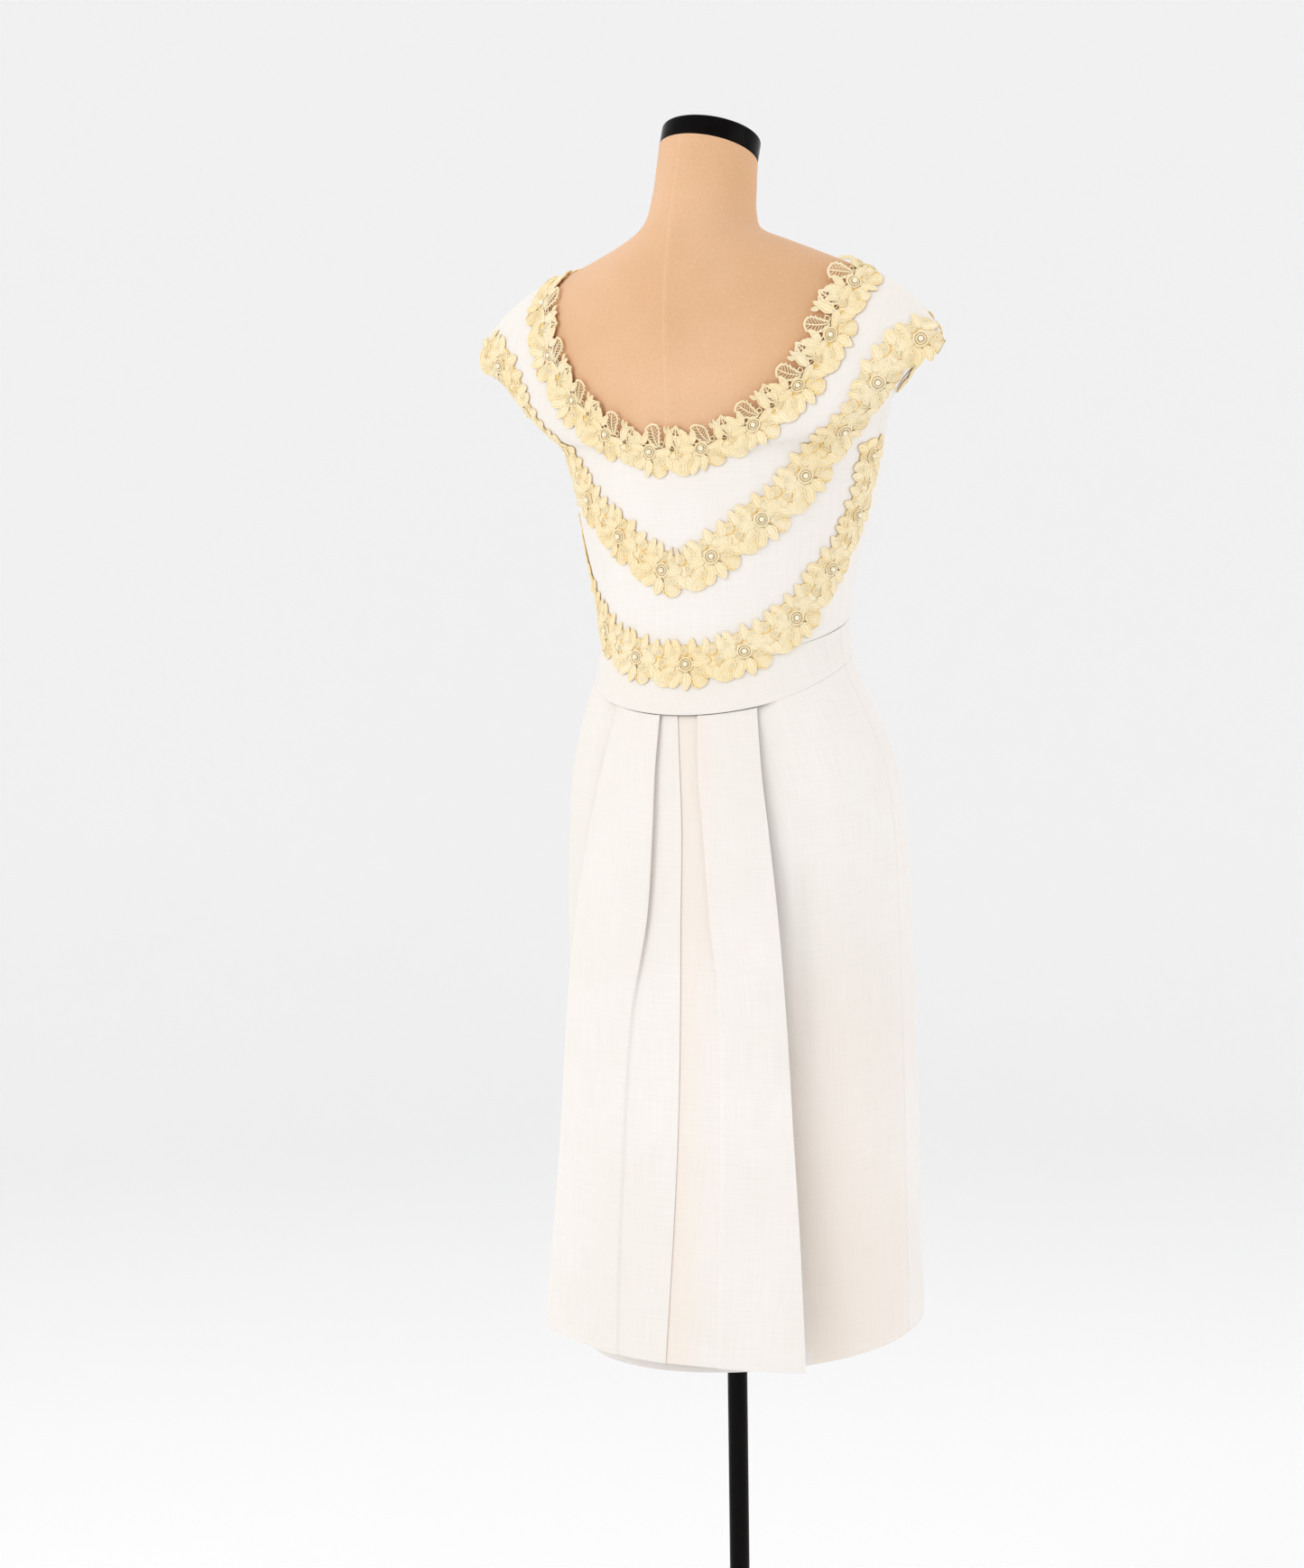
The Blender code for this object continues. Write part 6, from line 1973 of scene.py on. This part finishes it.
# %% [markdown]
# ## Floor
#
# A pale round floor turns up into a wall far outside every camera, with a wide curve between them, so that
# no line shows from any side.

# %% Sweep
SWEEP_RADIUS = 5.4
SWEEP_CURVE = 1.8
SWEEP_HEIGHT = 3.0
SWEEP_MIDDLE = 0.5
SWEEP_SIDES = 96
SWEEP_CURVE_STEPS = 24
sweep_lines = [(SWEEP_MIDDLE, 0.0), (SWEEP_RADIUS - SWEEP_CURVE, 0.0)]
for count in range(1, SWEEP_CURVE_STEPS + 1):
    angle = math.pi / 2 * count / SWEEP_CURVE_STEPS
    reach = SWEEP_RADIUS - SWEEP_CURVE * (1 - math.sin(angle))
    sweep_lines.append((reach, SWEEP_CURVE * (1 - math.cos(angle))))
sweep_lines.append((SWEEP_RADIUS, SWEEP_HEIGHT))
sweep_corners = [(0.0, 0.0, 0.0)]
for reach, height in sweep_lines:
    for side in range(SWEEP_SIDES):
        angle = 2 * math.pi * side / SWEEP_SIDES
        sweep_corners.append((reach * math.cos(angle), reach * math.sin(angle), height))
sweep_faces = [(0, 1 + side, 1 + (side + 1) % SWEEP_SIDES) for side in range(SWEEP_SIDES)]
for row in range(len(sweep_lines) - 1):
    sweep_faces += band_faces(1 + (row + 1) * SWEEP_SIDES, 1 + row * SWEEP_SIDES, SWEEP_SIDES)
sweep_mesh = bpy.data.meshes.new("pale_sweep")
sweep_mesh.from_pydata(sweep_corners, [], sweep_faces)
sweep_mesh.shade_smooth()
sweep_finish = Finish("pale_sweep", {"Specular IOR Level": 0.1})
paper = sweep_finish.noise(sweep_finish.place(), 1.3, 2.0)
sweep_tone = sweep_finish.blend(paper, (0.945, 0.945, 0.948, 1.0), (0.960, 0.958, 0.958, 1.0))
sweep_finish.feed(Base_Color=sweep_tone, Roughness=paper * 0.05 + 0.9)
sweep = add_piece("pale_sweep", sweep_mesh, sweep_finish.material)
print("sweep", len(sweep_faces), "faces")

# %% [markdown]
# ## Light
#
# The photograph is bright and nearly shadowless: a white room, a large soft light from the left and
# above, one that fills from the right, and one high behind the form. A light's turn is counted from the
# camera's direction in degrees, and it aims at a height on the pole.

# %% Lights
SoftLight = namedtuple("SoftLight", "name turn away height aim wide power colour")
SOFT_LIGHTS = table(SoftLight, [
    ("window_left", -55, 3.0, 2.3, 1.05, 2.0, 26, (1.0, 0.975, 0.94)),
    ("fill_right", 70, 3.4, 1.9, 1.0, 2.4, 17.5, (1.0, 0.985, 0.96)),
    ("wall_wash", 180, 1.2, 3.2, 2.2, 2.2, 10, (1.0, 1.0, 1.0)),
])
WORLD_COLOUR = (0.985, 0.99, 1.0, 1.0)
WORLD_STRENGTH = 0.88


def add_light(soft):
    """A square soft light that no camera sees."""
    lamp = bpy.data.lights.new(soft.name, "AREA")
    lamp.size = soft.wide
    lamp.energy = soft.power
    lamp.color = soft.colour
    light = bpy.data.objects.new(soft.name, lamp)
    bpy.context.scene.collection.objects.link(light)
    angle = CAMERA_TURN + math.radians(soft.turn)
    towards = Vector((math.sin(angle), -math.cos(angle), 0.0))
    light.location = towards * soft.away + Vector((0, 0, soft.height))
    light.visible_camera = False
    light.rotation_euler = (light.location - Vector((0, 0, soft.aim))).to_track_quat("Z", "Y").to_euler()


for soft in SOFT_LIGHTS:
    add_light(soft)
world = bpy.data.worlds.new("white_room")
bpy.context.scene.world = world
world.use_nodes = True
background = world.node_tree.nodes["Background"]
background.inputs["Color"].default_value = WORLD_COLOUR
background.inputs["Strength"].default_value = WORLD_STRENGTH
bpy.context.scene.view_settings.view_transform = "Standard"
print("lights:", [soft.name for soft in SOFT_LIGHTS])

# %% [markdown] ## End of the scene
